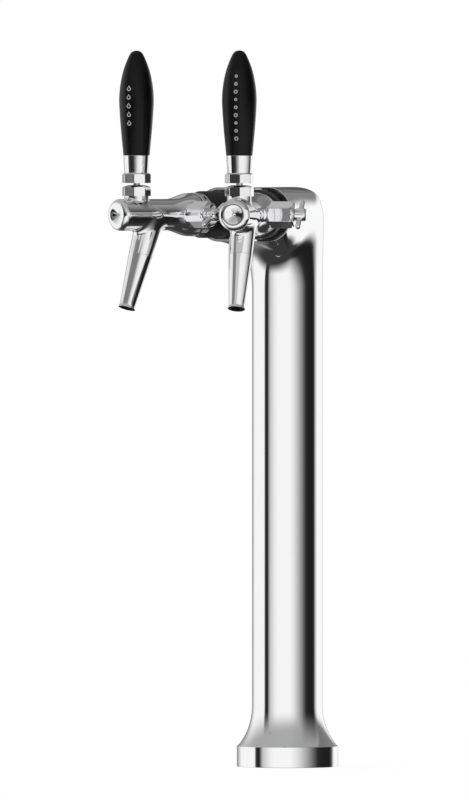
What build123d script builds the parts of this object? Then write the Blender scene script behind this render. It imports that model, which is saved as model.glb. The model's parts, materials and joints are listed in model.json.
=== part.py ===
from build123d import *
from math import atan2, cos, degrees, hypot, pi, radians, sin, sqrt, tan
import os

# Two-tap counter tower for still and sparkling water. Millimetres, +Z up, taps towards -Y.
# The origin is the centre of the line entry, on the plane of the counter top.

# ------------------------------------------------------------------ tower casting
wall = 3.0                      # casting wall of column and head
base_radius = 50.8
base_rim_height = 21.0
rim_edge_round = 0.8
rim_ledge = 0.3                 # flat left between the rounding and the sweep
flare_radius = 60.0             # concave sweep between rim and column
flare_top = 61.0                # height where the column is plain
column_front_radius = 36.0      # the column's section is four arcs a side, front to back
column_corner_radius = 30.0
column_side_radius = 65.0
column_front_angle = 38.0       # where each arc ends, as the angle of its normal from the front
column_corner_angle = 92.5
column_side_angle = 121.5
neck_rise = 75.5                # the neck starts to lean forward this far under the tap axes
head_face_y = -85.0             # plane of the head's open front
head_half_width = 56.3
head_half_height = 27.25
head_top_round = 30.3           # rear top bend, seen from the side
section_steps = 32
neck_steps = 4                  # lofted steps before the rear top bend, round it and after it
bend_steps = 6
flare_steps = 6

# ------------------------------------------------------------------ base
ring_thickness = 8.0            # mounting ring, flush with the counter
ring_bore_radius = 30.0
ring_bore_chamfer = 0.8
base_wall = 5.0
ring_step = 6.0                 # ledge that the mounting ring is screwed to
stud_hole_radius = 3.4          # tapped M8
stud_circle = 76.0
stud_count = 4
ring_screw_radius = 1.5
ring_screw_head_radius = 2.8
ring_screw_length = 14.0
ring_screw_edge = 0.3           # left between the countersinks and the ring's edge
gasket_depth = 2.0
gasket_width = 2.2
fit = 0.1                       # radial gap of turned fits
seat_gap = 0.2                  # between a moving face and its seat at rest
ball_gap = 0.3                  # round a ball that swivels, or beside a sliding pin

# ------------------------------------------------------------------ face plate and spacers
plate_recess = 2.0
plate_thickness = 4.0
rim_lip = 3.0
plate_ledge = 2.5
plate_gap = 0.15
grub_radius = 2.0
grub_spacing = 60.0
grub_sunk = 0.6
grub_point_radius = 1.2
grub_point_length = 3.0
spacer_radius = 23.4
spacer_length = 30.55           # along the tap axis, from the collar nut to the plate

# ------------------------------------------------------------------ where the taps stand
tap_height = 553.5
tap_splay = 18.2                # each tap turns out from straight ahead
axes_meet_y = -8.0              # where the two tap axes cross

# ------------------------------------------------------------------ tap, measured back from its nose
nose_front = 5.5                # the nose stands this far ahead of its middle
nose_radius = 15.9
nose_round = 5.5
nose_dish_radius = 9.7
nose_dish_depth = 2.6
nose_back = 4.0                 # seam between end cap and body
cap_spigot_radius = 9.0
cap_spigot_length = 6.0
body_radius = 15.6
flare_start = 60.0
flare_end = 88.0
tail_radius = 21.5
body_back = 92.0
body_back_chamfer = 0.8
thread_radius = 18.1
thread_end = 98.5
piston_bore_radius = 6.4
seat_at = 47.0
chamber_radius = 10.5
chamber_end = 60.0
tail_bore_radius = 16.0

# ------------------------------------------------------------------ coupling to the tower
collar_front = 93.6
collar_back = 103.6
collar_radius = 21.9
collar_lip = 1.7
collar_chamfer = 0.5
collar_slot_count = 6
collar_slot_turn = 44.0
collar_slot_length = 4.6
collar_slot_width = 2.2
collar_slot_depth = 2.0
washer_thickness = 1.2
washer_bore_radius = 8.0
shank_head_radius = 17.8
shank_neck_radius = 12.0
shank_radius = 7.95
shank_bore_radius = 4.5
shank_spare = 13.05             # thread that stands out behind the nut
wedge_radius = 14.0
wedge_nut_gap = 1.0
shank_nut_flats = 24.0
shank_nut_height = 8.0
pipe_radius = 4.0
pipe_wall = 0.8
pipe_nut_flats = 19.0
pipe_nut_length = 12.0
pipe_nut_overlap = 2.0
pipe_straight = 32.0            # from the shank's end to the pipe's turning point
pipe_top_bend = 22.0
pipe_foot_bend = 60.0
pipe_spacing = 24.0
pipe_set_back = 3.0
pipe_lean_drop = 8.0            # the pipe is upright this far under the neck's start
pipe_foot = 14.0

# ------------------------------------------------------------------ spout
spout_meet = 40.0               # where the spout's axis crosses the tap's
spout_lean = 18.8
spout_root_radius = 13.9        # where the two axes cross
spout_seam = 43.0               # along the spout from the tap axis
spout_seam_radius = 11.9
spout_length = 98.3
spout_tip_radius = 7.9
spout_lip_radius = 8.8
spout_lip_length = 3.0
spout_bore_radius = 6.0
spout_way_radius = 6.4          # in the tap body, above the nozzle
nozzle_spigot_radius = 9.0
nozzle_spigot_length = 8.0
spout_blend = 5.0

# ------------------------------------------------------------------ lever
lever_at = 21.0                 # back from the nose
pivot_height = 18.8             # above the tap axis
neck_radius = 12.2
neck_height = 18.7
neck_blend = 2.0
nut_across_corners = 29.2
nut_side_count = 8
bonnet_top = 30.4
bonnet_dome_radius = 36.3
lock_nut_bottom = 31.6
lock_nut_top = 41.5
lock_nut_foot_chamfer = 0.6
lock_nut_top_chamfer = 2.9
lock_nut_top_slope = 1.9
ferrule_top = 59.2
ferrule_foot_radius = 11.9
ferrule_top_radius = 13.0
grip_foot_radius = 13.1
grip_radius = 17.3
grip_widest = 54.5              # above the grip's foot
grip_height = 104.2
grip_tip_radius = 5.4
grip_tip_height = 1.8
grip_swell = (0.6, 0.52)        # shares of the swell and of the height up to the widest
grip_taper = ((0.87, 0.38), (0.64, 0.63), (0.36, 0.835))  # shares of taper and rise above it
grip_foot_slope = (0.12, 1)
grip_shoulder_slope = (-1.3, 1)
grip_bore_radius = 4.0
grip_bore_depth = 40.0
stem_end_gap = 1.0
stem_radius = 3.5
pivot_ball_radius = 6.0
tongue_radius = 2.6
tip_ball_radius = 2.9
bonnet_mouth_radius = 7.2
bonnet_throat_radius = 5.0
skirt_radius = 9.0
skirt_bottom = 11.5
skirt_bore_radius = 6.6
lever_seat_bottom = 8.5
lever_seat_nose_radius = 6.45
lever_seat_bore_radius = 6.2
lever_seat_drop = 3.2           # from the ball's centre down to the seat's lip
lever_seat_lip = 0.7
lever_way_radius = 6.6

# ------------------------------------------------------------------ piston
piston_front = 12.0
piston_land_end = 28.5
piston_rod_radius = 3.5
piston_seal_thickness = 2.4
piston_seal_radius = 8.4
piston_head_thickness = 3.2
piston_head_radius = 7.8
piston_way_radius = 3.3
piston_way_mouth = 5.0
piston_way_depth = 4.1          # below the tap axis
piston_way_throat = 1.0         # above it

# ------------------------------------------------------------------ flow control
flow_at = 81.6                  # back from the nose
flow_boss_radius = 11.6
flow_boss_face = 18.5           # out from the tap axis
flow_spotface_gap = 0.4
flow_spigot_radius = 10.0
flow_spigot_end = 13.0
flow_hex_corners = 27.0
flow_hex_end = 40.4
flow_hex_chamfer = 1.6
flow_disc_radius = 12.0
flow_disc_end = 43.0
flow_disc_chamfer = 1.4
spindle_radius = 4.5
spindle_flange_radius = 8.0
spindle_flange_back = 14.0
spindle_flange_front = 18.6
knob_radius = 6.4
knob_end = 54.5
knob_round = 1.8
tee_radius = 2.75
tee_length = 36.0
tee_at = 48.0
tee_end_round = 2.2
crank_pin_radius = 1.8
crank_throw = 3.5
crank_pin_end = 7.5
cone_front = 64.0
cone_back = 89.0
cone_front_radius = 4.0
cone_back_radius = 11.0
cone_land = 4.0                 # plain stretch at its back

# ------------------------------------------------------------------ sizes that follow from these
neck_start = tap_height - neck_rise
ring_radius = base_radius - base_wall - fit
ring_screw_circle = 2 * (ring_radius - ring_screw_edge - ring_screw_head_radius - fit)
nose_reach = (                  # from where the tap axes cross to the middle of a tap's nose
    collar_back + spacer_length
    + (axes_meet_y - head_face_y - plate_recess) / cos(radians(tap_splay))
)
plate_back = (                  # back of the face plate, along a tap's axis
    collar_back + spacer_length + plate_thickness / cos(radians(tap_splay))
)
wedge_end = plate_back + wedge_radius * tan(radians(tap_splay)) + wedge_nut_gap
shank_end = wedge_end + shank_nut_height + shank_spare


class Tap:
    """Places pieces on one tap: t runs back from the nose, q out to the flow knob, h up."""

    def __init__(self, name, side, nut_turn, tee_lean):
        self.name = name
        self.side = side
        self.nut_turn = nut_turn
        self.tee_lean = tee_lean
        splay = radians(tap_splay)
        self.ahead = Vector(side * sin(splay), -cos(splay), 0)
        self.across = Vector(cos(splay), side * sin(splay), 0)
        self.nose = Vector(0, axes_meet_y, tap_height) + self.ahead * nose_reach

    def at(self, t=0, q=0, h=0):
        return self.nose - self.ahead * t + self.across * q + Vector(0, 0, h)

    def profile(self, t=0, h=0):
        """Upright plane through the tap axis: x runs back, y up."""
        return Plane(self.at(t, 0, h), x_dir=-self.ahead, z_dir=self.across)

    def flow_profile(self):
        """Upright plane through the flow control's axis: x runs out, y up."""
        return Plane(self.at(flow_at), x_dir=self.across, z_dir=self.ahead)

    def level(self, t, h):
        """Level plane at height h: x runs ahead."""
        return Plane(self.at(t, 0, h), x_dir=self.ahead, z_dir=(0, 0, 1))

    def facing_back(self, t):
        """Plane square to the tap axis, looking back along it."""
        return Plane(self.at(t), x_dir=self.across, z_dir=-self.ahead)

    def facing_out(self, q):
        """Plane square to the flow control's axis, looking out along it."""
        return Plane(self.at(flow_at, q), x_dir=self.ahead, z_dir=self.across)

    def axis(self):
        return Axis(self.at(), -self.ahead)

    def flow_axis(self):
        return Axis(self.at(flow_at), self.across)

    def upright(self, t=lever_at):
        return Axis(self.at(t), (0, 0, 1))

    def spout_direction(self):
        lean = radians(spout_lean)
        return self.ahead * sin(lean) - Vector(0, 0, cos(lean))

    def spout_profile(self):
        """Plane through the spout's axis: x runs down the spout."""
        return Plane(self.at(spout_meet), x_dir=self.spout_direction(), z_dir=self.across)

    def spout_axis(self):
        return Axis(self.at(spout_meet), self.spout_direction())


TAPS = [Tap("left", -1, 37.7, 54.0), Tap("right", 1, 24.8, 42.0)]


def save(piece, name):
    """Label a finished piece and write it to its own file."""
    piece.part.label = name
    export_step(piece.part, f"parts/{name}.step")


def face_of(plane, *points):
    """A flat face from a closed outline of straight runs."""
    with BuildSketch(plane) as flat:
        with BuildLine():
            Polyline(*points, close=True)
        make_face()
    return flat.sketch


def tube_face(plane, start, end, inner, outer):
    """Half section of a ring or a rod that is turned about the plane's x axis."""
    return face_of(plane, (start, inner), (end, inner), (end, outer), (start, outer))


# ------------------------------------------------------------------ tower sections
def column_arcs():
    """Centre, radius and end angle of the arcs of the column's right half, front to back."""
    x, y, radius, turned = 0.0, 0.0, column_front_radius, column_front_angle
    arcs = [(x, y, radius, turned)]
    for next_radius, end in (
        (column_corner_radius, column_corner_angle),
        (column_side_radius, column_side_angle),
    ):
        x += (radius - next_radius) * sin(radians(turned))
        y -= (radius - next_radius) * cos(radians(turned))
        arcs.append((x, y, next_radius, end))
        radius, turned = next_radius, end
    back_radius = radius + x / sin(radians(turned))
    y -= (radius - back_radius) * cos(radians(turned))
    arcs.append((0.0, y, back_radius, 180.0))
    return arcs


def column_point(share):
    """Point of the column's outline, a share of the way from the front to the back."""
    arcs = column_arcs()
    starts = [0.0] + [arc[3] for arc in arcs[:-1]]
    lengths = [radians(arc[3] - start) * arc[2] for arc, start in zip(arcs, starts)]
    walked = share * sum(lengths)
    for (x, y, radius, end), start, length in zip(arcs, starts, lengths):
        if walked <= length or end == 180.0:
            angle = radians(start) + walked / radius
            return x + radius * sin(angle), y - radius * cos(angle), angle
        walked -= length


def mouth_point(share, half_width, half_height):
    """Point of the head's open front, a share of the way from bottom middle to top middle."""
    flat = half_width - half_height
    walked = share * (2 * flat + pi * half_height)
    if walked <= flat:
        return walked, -half_height, 0.0
    if walked <= flat + pi * half_height:
        angle = (walked - flat) / half_height
        return flat + half_height * sin(angle), -half_height * cos(angle), angle
    return flat - (walked - flat - pi * half_height), half_height, pi


def ring_of(half_points):
    """Close a half outline, which runs front to back, with its mirror image."""
    mirrored = [(-x, y) for x, y in half_points[-2:0:-1]]
    return half_points + mirrored


def shares():
    return [2 * k / section_steps for k in range(section_steps // 2 + 1)]


def flare_outline(height, inset):
    """Outline between the column's section and the base's circle."""
    drop = max(0.0, flare_top - height)
    blend = (flare_radius - sqrt(flare_radius**2 - drop**2)) / flare_growth()
    outline = []
    for share in shares():
        x, y, angle = column_point(share)
        x, y = x - inset * sin(angle), y + inset * cos(angle)
        foot = flare_foot_radius() - inset
        outline.append(
            (
                x + blend * (foot * sin(angle) - x),
                y + blend * (-foot * cos(angle) - y),
            )
        )
    return ring_of(outline)


def flare_growth():
    drop = flare_top - base_rim_height
    return flare_radius - sqrt(flare_radius**2 - drop**2)


def flare_foot_radius():
    return base_radius - rim_edge_round - rim_ledge


def column_depths():
    """Front and back of the column's section."""
    return column_point(0.0)[1], column_point(1.0)[1]


def column_half_width():
    return max(column_point(share)[0] for share in shares())


def head_bottom():
    return tap_height - head_half_height


def neck_bend():
    """Centre of the rear top bend, from the neck's turning line: back and up."""
    depth = column_depths()[1] - head_face_y
    height = tap_height + head_half_height - neck_start
    return depth - head_top_round, height - head_top_round


def neck_reach(lean):
    """Distances from the neck's turning line to its inner and outer side, at one lean angle."""
    inner = column_depths()[0] - head_face_y
    rise = head_bottom() - neck_start
    along, up = cos(radians(lean)), sin(radians(lean))
    inner_here = 1 / hypot(along / inner, up / rise)
    bend_y, bend_z = neck_bend()
    depth, height = bend_y + head_top_round, bend_z + head_top_round
    if depth * up <= bend_z * along:
        outer_here = depth / along
    elif height * along <= bend_y * up:
        outer_here = height / up
    else:
        middle = bend_y * along + bend_z * up
        outer_here = middle + sqrt(middle**2 - bend_y**2 - bend_z**2 + head_top_round**2)
    return inner_here, outer_here


def neck_leans():
    """Lean angles of the neck's sections, closer together round the rear top bend."""
    bend_y, bend_z = neck_bend()
    bend = []
    for k in range(bend_steps + 1):
        turned = radians(90 * k / bend_steps)
        y, z = bend_y + head_top_round * cos(turned), bend_z + head_top_round * sin(turned)
        bend.append(degrees(atan2(z, y)))
    before = [bend[0] * k / neck_steps for k in range(neck_steps)] + [bend[0]]
    after = [bend[-1] + (90.0 - bend[-1]) * k / neck_steps for k in range(neck_steps + 1)]
    return before, bend, after


def neck_outline(lean, inset):
    """Section of the neck and head at one lean angle: x across, y out from the turning line."""
    inner, outer = neck_reach(lean)
    middle, half_depth = (outer + inner) / 2, (outer - inner) / 2
    front, back = column_depths()
    column_half_depth = (back - front) / 2
    # the sides taper straight back from the open front, seen from above
    depth_here = middle * cos(radians(lean))
    taper = 1 - depth_here / (column_half_depth + front - head_face_y)
    half_width = column_half_width() + (head_half_width - column_half_width()) * taper
    turned = lean / 90.0
    blend = turned**2 * (3 - 2 * turned)
    if inset:
        inset += plate_ledge * blend
    outline = []
    for share in shares():
        x, y, angle = column_point(share)
        x, y = x / column_half_width(), (y - (front + back) / 2) / column_half_depth
        mouth_x, mouth_y, mouth_angle = mouth_point(share, head_half_width, head_half_height)
        mouth_x, mouth_y = mouth_x / head_half_width, mouth_y / head_half_height
        x, y = x + blend * (mouth_x - x), y + blend * (mouth_y - y)
        angle += blend * (mouth_angle - angle)
        outline.append(
            (x * half_width - inset * sin(angle), middle + y * half_depth + inset * cos(angle))
        )
    return ring_of(outline)


def neck_plane(lean):
    up, back = cos(radians(lean)), sin(radians(lean))
    return Plane((0, head_face_y, neck_start), x_dir=(1, 0, 0), z_dir=(0, -back, up))


def outline_face(plane, outline):
    with BuildSketch(plane) as flat:
        with BuildLine():
            Spline(*outline, periodic=True)
        make_face()
    return flat.sketch


def neck_sections(inset):
    """The sections of the neck, in three runs that share their end sections."""
    return [
        [outline_face(neck_plane(lean), neck_outline(lean, inset)) for lean in run]
        for run in neck_leans()
    ]


def column_face(height, inset):
    """The neck's first section, carried straight down."""
    lowered = neck_plane(0.0).offset(height - neck_start)
    return outline_face(lowered, neck_outline(0.0, inset))


def flare_heights():
    drop = flare_top - base_rim_height
    return [base_rim_height + drop * k / flare_steps for k in range(flare_steps + 1)]


def plate_plane(depth):
    """Plane parallel to the head's open front, a depth behind it, facing forward."""
    return Plane((0, head_face_y + depth, tap_height), x_dir=(1, 0, 0), z_dir=(0, -1, 0))


def stadium(plane, half_width, half_height):
    with BuildSketch(plane) as flat:
        SlotOverall(2 * half_width, 2 * half_height)
    return flat.sketch


def ring_places(circle, count, start):
    return PolarLocations(circle / 2, count, start_angle=start)


# ------------------------------------------------------------------ tower pieces
def make_column(inset):
    """Column, neck and head as one solid, this far inside the outer surface."""
    with BuildPart() as filled:
        extrude(column_face(flare_top, inset), amount=neck_start - flare_top)
        for run in neck_sections(inset):
            loft(run)
    return filled.part


def make_tower_shell():
    with BuildPart() as column:
        add(make_column(0))
        add(make_column(wall), mode=Mode.SUBTRACT)
    with BuildPart() as shell:
        # base, with the sweep up to the column
        with BuildSketch():
            Circle(base_radius)
        extrude(amount=base_rim_height)
        fillet(shell.edges().group_by(Axis.Z)[-1], rim_edge_round)
        for inset, mode in ((0, Mode.ADD), (wall, Mode.SUBTRACT)):
            sections = [
                outline_face(Plane.XY.offset(height), flare_outline(height, inset))
                for height in flare_heights()
            ]
            loft(sections, mode=mode)
        with BuildSketch():
            Circle(base_radius - base_wall)
        extrude(amount=ring_thickness, mode=Mode.SUBTRACT)
        with BuildSketch(Plane.XY.offset(ring_thickness)):
            Circle(base_radius - base_wall - ring_step)
            with ring_places(ring_screw_circle, stud_count, 45):
                Circle(ring_screw_radius)
        extrude(amount=base_rim_height - ring_thickness, mode=Mode.SUBTRACT)
        with BuildSketch():
            Circle(gasket_radius() + gasket_width / 2)
            Circle(gasket_radius() - gasket_width / 2, mode=Mode.SUBTRACT)
        extrude(amount=gasket_depth, mode=Mode.SUBTRACT)
        add(column.part)
        # recess of the face plate, and the tapped holes of its grub screws
        mouth = stadium(plate_plane(0), head_half_width - rim_lip, head_half_height - rim_lip)
        extrude(mouth, amount=-(plate_recess + plate_thickness), mode=Mode.SUBTRACT)
        with BuildSketch(Plane.XY.offset(head_bottom())):
            with Locations(*grub_places()):
                Circle(grub_radius)
        extrude(amount=rim_lip + wall, mode=Mode.SUBTRACT)
    save(shell, "tower_shell")


def gasket_radius():
    return base_radius - base_wall / 2


def grub_places():
    y = head_face_y + plate_recess + plate_thickness / 2
    return [(-grub_spacing / 2, y), (grub_spacing / 2, y)]


def make_base():
    with BuildPart() as ring:
        with BuildSketch():
            Circle(ring_radius)
            Circle(ring_bore_radius, mode=Mode.SUBTRACT)
            with ring_places(stud_circle, stud_count, 0):
                Circle(stud_hole_radius, mode=Mode.SUBTRACT)
        extrude(amount=ring_thickness)
        underside = Plane.XY.rotated((180, 0, 0))
        with Locations(underside):
            with ring_places(ring_screw_circle, stud_count, 45):
                CounterSinkHole(
                    ring_screw_radius + fit, ring_screw_head_radius + fit, counter_sink_angle=90
                )
        bore_edge = ring.edges().filter_by(GeomType.CIRCLE).group_by(Axis.Z)[-1].filter_by(
            lambda edge: abs(edge.radius - ring_bore_radius) < fit
        )
        chamfer(bore_edge, ring_bore_chamfer)
    save(ring, "mounting_ring")
    with BuildPart() as screws:
        with BuildSketch():
            with ring_places(ring_screw_circle, stud_count, 45):
                Circle(ring_screw_radius)
        extrude(amount=ring_screw_length)
        with BuildSketch():
            with ring_places(ring_screw_circle, stud_count, 45):
                Circle(ring_screw_head_radius)
        extrude(amount=ring_screw_head_radius - ring_screw_radius, taper=45)
    save(screws, "ring_screws")
    with BuildPart() as gasket:
        with BuildSketch():
            Circle(gasket_radius() + gasket_width / 2)
            Circle(gasket_radius() - gasket_width / 2, mode=Mode.SUBTRACT)
        extrude(amount=gasket_depth)
    save(gasket, "base_gasket")


def make_face_plate():
    lip = (head_half_width - rim_lip - plate_gap, head_half_height - rim_lip - plate_gap)
    with BuildPart() as plate:
        extrude(stadium(plate_plane(plate_recess), *lip), amount=-plate_thickness)
        for tap in TAPS:
            with BuildSketch(tap.facing_back(collar_back)):
                Circle(shank_radius + fit)
            extrude(amount=nose_reach - collar_back, mode=Mode.SUBTRACT)
        with BuildSketch(Plane.XY.offset(head_bottom() + rim_lip)):
            with Locations(*grub_places()):
                Circle(grub_point_radius + seat_gap)
        extrude(amount=grub_point_length + seat_gap, mode=Mode.SUBTRACT)
    save(plate, "face_plate")
    with BuildPart() as grubs:
        with BuildSketch(Plane.XY.offset(head_bottom() + grub_sunk)):
            with Locations(*grub_places()):
                Circle(grub_radius)
        extrude(amount=rim_lip - grub_sunk)
        with BuildSketch(Plane.XY.offset(head_bottom() + rim_lip)):
            with Locations(*grub_places()):
                Circle(grub_point_radius)
        extrude(amount=grub_point_length)
    save(grubs, "plate_screws")


# ------------------------------------------------------------------ coupling pieces
def make_coupling(tap):
    back_of_plate = plate_recess + plate_thickness
    with BuildPart() as spacer:
        with BuildSketch(tap.facing_back(collar_back)):
            Circle(spacer_radius)
            Circle(shank_radius + fit, mode=Mode.SUBTRACT)
        extrude(amount=nose_reach - collar_back)
        split(bisect_by=plate_plane(plate_recess), keep=Keep.TOP)
    save(spacer, f"{tap.name}_spacer")

    with BuildPart() as collar:
        outline = (
            (collar_front, thread_radius + fit),
            (collar_back - collar_lip, thread_radius + fit),
            (collar_back - collar_lip, shank_neck_radius + fit),
            (collar_back, shank_neck_radius + fit),
            (collar_back, collar_radius),
            (collar_front + collar_chamfer, collar_radius),
            (collar_front, collar_radius - collar_chamfer),
        )
        revolve(face_of(tap.profile(), *outline), axis=tap.axis())
        middle = (collar_front + collar_back) / 2
        for k in range(collar_slot_count):
            angle = radians(collar_slot_turn + 360 * k / collar_slot_count)
            outward = tap.across * sin(angle) + Vector(0, 0, cos(angle))
            centre = tap.at(middle) + outward * (collar_radius - collar_slot_depth)
            with BuildSketch(Plane(centre, x_dir=tap.ahead.cross(outward), z_dir=outward)):
                SlotOverall(collar_slot_length, collar_slot_width)
            extrude(amount=2 * collar_slot_depth, mode=Mode.SUBTRACT)
    save(collar, f"{tap.name}_collar_nut")

    with BuildPart() as washer:
        face = tube_face(
            tap.profile(), thread_end, thread_end + washer_thickness,
            washer_bore_radius, shank_head_radius,
        )
        revolve(face, axis=tap.axis())
    save(washer, f"{tap.name}_coupling_washer")

    head_front = thread_end + washer_thickness
    head_back = collar_back - collar_lip
    with BuildPart() as shank:
        outline = (
            (head_front, shank_bore_radius),
            (shank_end, shank_bore_radius),
            (shank_end, shank_radius),
            (collar_back, shank_radius),
            (collar_back, shank_neck_radius),
            (head_back, shank_neck_radius),
            (head_back, shank_head_radius),
            (head_front, shank_head_radius),
        )
        revolve(face_of(tap.profile(), *outline), axis=tap.axis())
    save(shank, f"{tap.name}_shank")

    with BuildPart() as wedge:
        with BuildSketch(tap.facing_back(collar_back)):
            Circle(wedge_radius)
            Circle(shank_radius + fit, mode=Mode.SUBTRACT)
        extrude(amount=wedge_end - collar_back)
        split(bisect_by=plate_plane(back_of_plate), keep=Keep.BOTTOM)
    save(wedge, f"{tap.name}_wedge_washer")

    with BuildPart() as nut:
        with BuildSketch(tap.facing_back(wedge_end)):
            RegularPolygon(shank_nut_flats / 2, 6, major_radius=False)
            Circle(shank_radius + fit, mode=Mode.SUBTRACT)
        extrude(amount=shank_nut_height)
    save(nut, f"{tap.name}_shank_nut")

    nut_start = shank_end - pipe_nut_overlap
    with BuildPart() as pipe_nut:
        with BuildSketch(tap.facing_back(nut_start)):
            RegularPolygon(pipe_nut_flats / 2, 6, major_radius=False)
        extrude(amount=pipe_nut_length)
        hollow = tube_face(tap.profile(), nut_start, shank_end, 0, shank_radius + fit)
        revolve(hollow, axis=tap.axis(), mode=Mode.SUBTRACT)
        way = tube_face(tap.profile(), nut_start, nut_start + pipe_nut_length, 0, pipe_radius + fit)
        revolve(way, axis=tap.axis(), mode=Mode.SUBTRACT)
    save(pipe_nut, f"{tap.name}_pipe_nut")

    foot_x = tap.side * pipe_spacing / 2
    with BuildPart() as pipe:
        with BuildLine() as route:
            FilletPolyline(
                tap.at(shank_end),
                tap.at(shank_end + pipe_straight),
                (foot_x, pipe_set_back, neck_start - pipe_lean_drop),
                (foot_x, pipe_set_back, pipe_foot),
                radius=[pipe_top_bend, pipe_foot_bend],
            )
        with BuildSketch(tap.facing_back(shank_end)):
            Circle(pipe_radius)
            Circle(pipe_radius - pipe_wall, mode=Mode.SUBTRACT)
        sweep(path=route.wires()[0])
    save(pipe, f"{tap.name}_product_pipe")


# ------------------------------------------------------------------ tap pieces
def make_tap_body(tap):
    with BuildPart() as body:
        with BuildSketch(tap.profile()) as outside:
            with BuildLine():
                Polyline((flare_start, body_radius), (nose_back, body_radius), (nose_back, 0),
                         (thread_end, 0), (thread_end, thread_radius),
                         (body_back, thread_radius), (body_back, tail_radius - body_back_chamfer),
                         (body_back - body_back_chamfer, tail_radius),
                         (flare_end, tail_radius))
                middle = (flare_start + flare_end) / 2
                Bezier((flare_end, tail_radius), (middle, tail_radius), (middle, body_radius),
                       (flare_start, body_radius))
            make_face()
        revolve(axis=tap.axis())
        # neck that the lever stands on
        with BuildSketch(tap.level(lever_at, 0)):
            Circle(neck_radius)
        extrude(amount=neck_height)
        fillet(body.edges(Select.LAST).filter_by(GeomType.BSPLINE), neck_blend)
        # boss of the flow control
        with BuildSketch(tap.facing_out(0)):
            Circle(flow_boss_radius)
        extrude(amount=flow_boss_face)
        # upper part of the spout
        outline = ((0, 0), (0, spout_root_radius), (spout_seam, spout_seam_radius), (spout_seam, 0))
        revolve(face_of(tap.spout_profile(), *outline), axis=tap.spout_axis())
        fillet(body.edges(Select.LAST).filter_by(GeomType.BSPLINE), spout_blend)
        # piston bore, seat, chamber and tail bore
        outline = ((nose_back, 0), (nose_back, cap_spigot_radius + fit),
                   (nose_back + cap_spigot_length, cap_spigot_radius + fit),
                   (nose_back + cap_spigot_length, piston_bore_radius),
                   (seat_at, piston_bore_radius), (seat_at, chamber_radius),
                   (chamber_end, chamber_radius), (flare_end, tail_bore_radius),
                   (thread_end, tail_bore_radius), (thread_end, 0))
        revolve(face_of(tap.profile(), *outline), axis=tap.axis(), mode=Mode.SUBTRACT)
        # way of the lever, its seat, and the threaded socket of the bonnet
        with BuildSketch(tap.level(lever_at, 0)):
            Circle(lever_way_radius)
        extrude(amount=neck_height, mode=Mode.SUBTRACT)
        with BuildSketch(tap.level(lever_at, lever_seat_bottom)):
            Circle(skirt_radius + fit)
        extrude(amount=neck_height - lever_seat_bottom, mode=Mode.SUBTRACT)
        # flat that the flow control's hexagon seats on, and its port
        with BuildSketch(tap.facing_out(flow_boss_face)):
            Circle(flow_hex_corners / 2 + flow_spotface_gap)
        extrude(amount=tail_radius, mode=Mode.SUBTRACT)
        with BuildSketch(tap.facing_out(0)):
            Circle(flow_spigot_radius + fit)
        extrude(amount=flow_boss_face, mode=Mode.SUBTRACT)
        # way down the spout, and the socket of the nozzle
        way = tube_face(tap.spout_profile(), 0, spout_seam, 0, spout_way_radius)
        revolve(way, axis=tap.spout_axis(), mode=Mode.SUBTRACT)
        top = spout_seam - nozzle_spigot_length
        socket = tube_face(tap.spout_profile(), top, spout_seam, 0, nozzle_spigot_radius + fit)
        revolve(socket, axis=tap.spout_axis(), mode=Mode.SUBTRACT)
    save(body, f"{tap.name}_tap_body")


def make_end_cap(tap):
    with BuildPart() as cap:
        with BuildSketch(tap.profile()):
            with BuildLine():
                edge = nose_radius - nose_round
                Polyline((nose_round - nose_front, nose_radius), (nose_back, nose_radius),
                         (nose_back, cap_spigot_radius),
                         (nose_back + cap_spigot_length, cap_spigot_radius),
                         (nose_back + cap_spigot_length, 0), (nose_dish_depth - nose_front, 0))
                ThreePointArc((nose_dish_depth - nose_front, 0),
                              (0.75 * nose_dish_depth - nose_front, nose_dish_radius / 2),
                              (-nose_front, nose_dish_radius))
                Line((-nose_front, nose_dish_radius), (-nose_front, edge))
                diagonal = nose_round * sqrt(0.5)
                ThreePointArc((-nose_front, edge),
                              (nose_round - nose_front - diagonal, edge + diagonal),
                              (nose_round - nose_front, nose_radius))
            make_face()
        revolve(axis=tap.axis())
    save(cap, f"{tap.name}_end_cap")


def make_nozzle(tap):
    lip_start = spout_length - spout_lip_length
    with BuildPart() as nozzle:
        outline = (
            (spout_seam - nozzle_spigot_length, spout_bore_radius),
            (spout_length, spout_bore_radius),
            (spout_length, spout_lip_radius),
            (lip_start, spout_tip_radius),
            (spout_seam, spout_seam_radius),
            (spout_seam, nozzle_spigot_radius),
            (spout_seam - nozzle_spigot_length, nozzle_spigot_radius),
        )
        revolve(face_of(tap.spout_profile(), *outline), axis=tap.spout_axis())
    save(nozzle, f"{tap.name}_nozzle")


def nut_blank(tap, bottom, top):
    with BuildSketch(tap.level(lever_at, bottom)) as flat:
        RegularPolygon(nut_across_corners / 2, nut_side_count, rotation=tap.nut_turn)
    return extrude(flat.sketch, amount=top - bottom)


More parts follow.
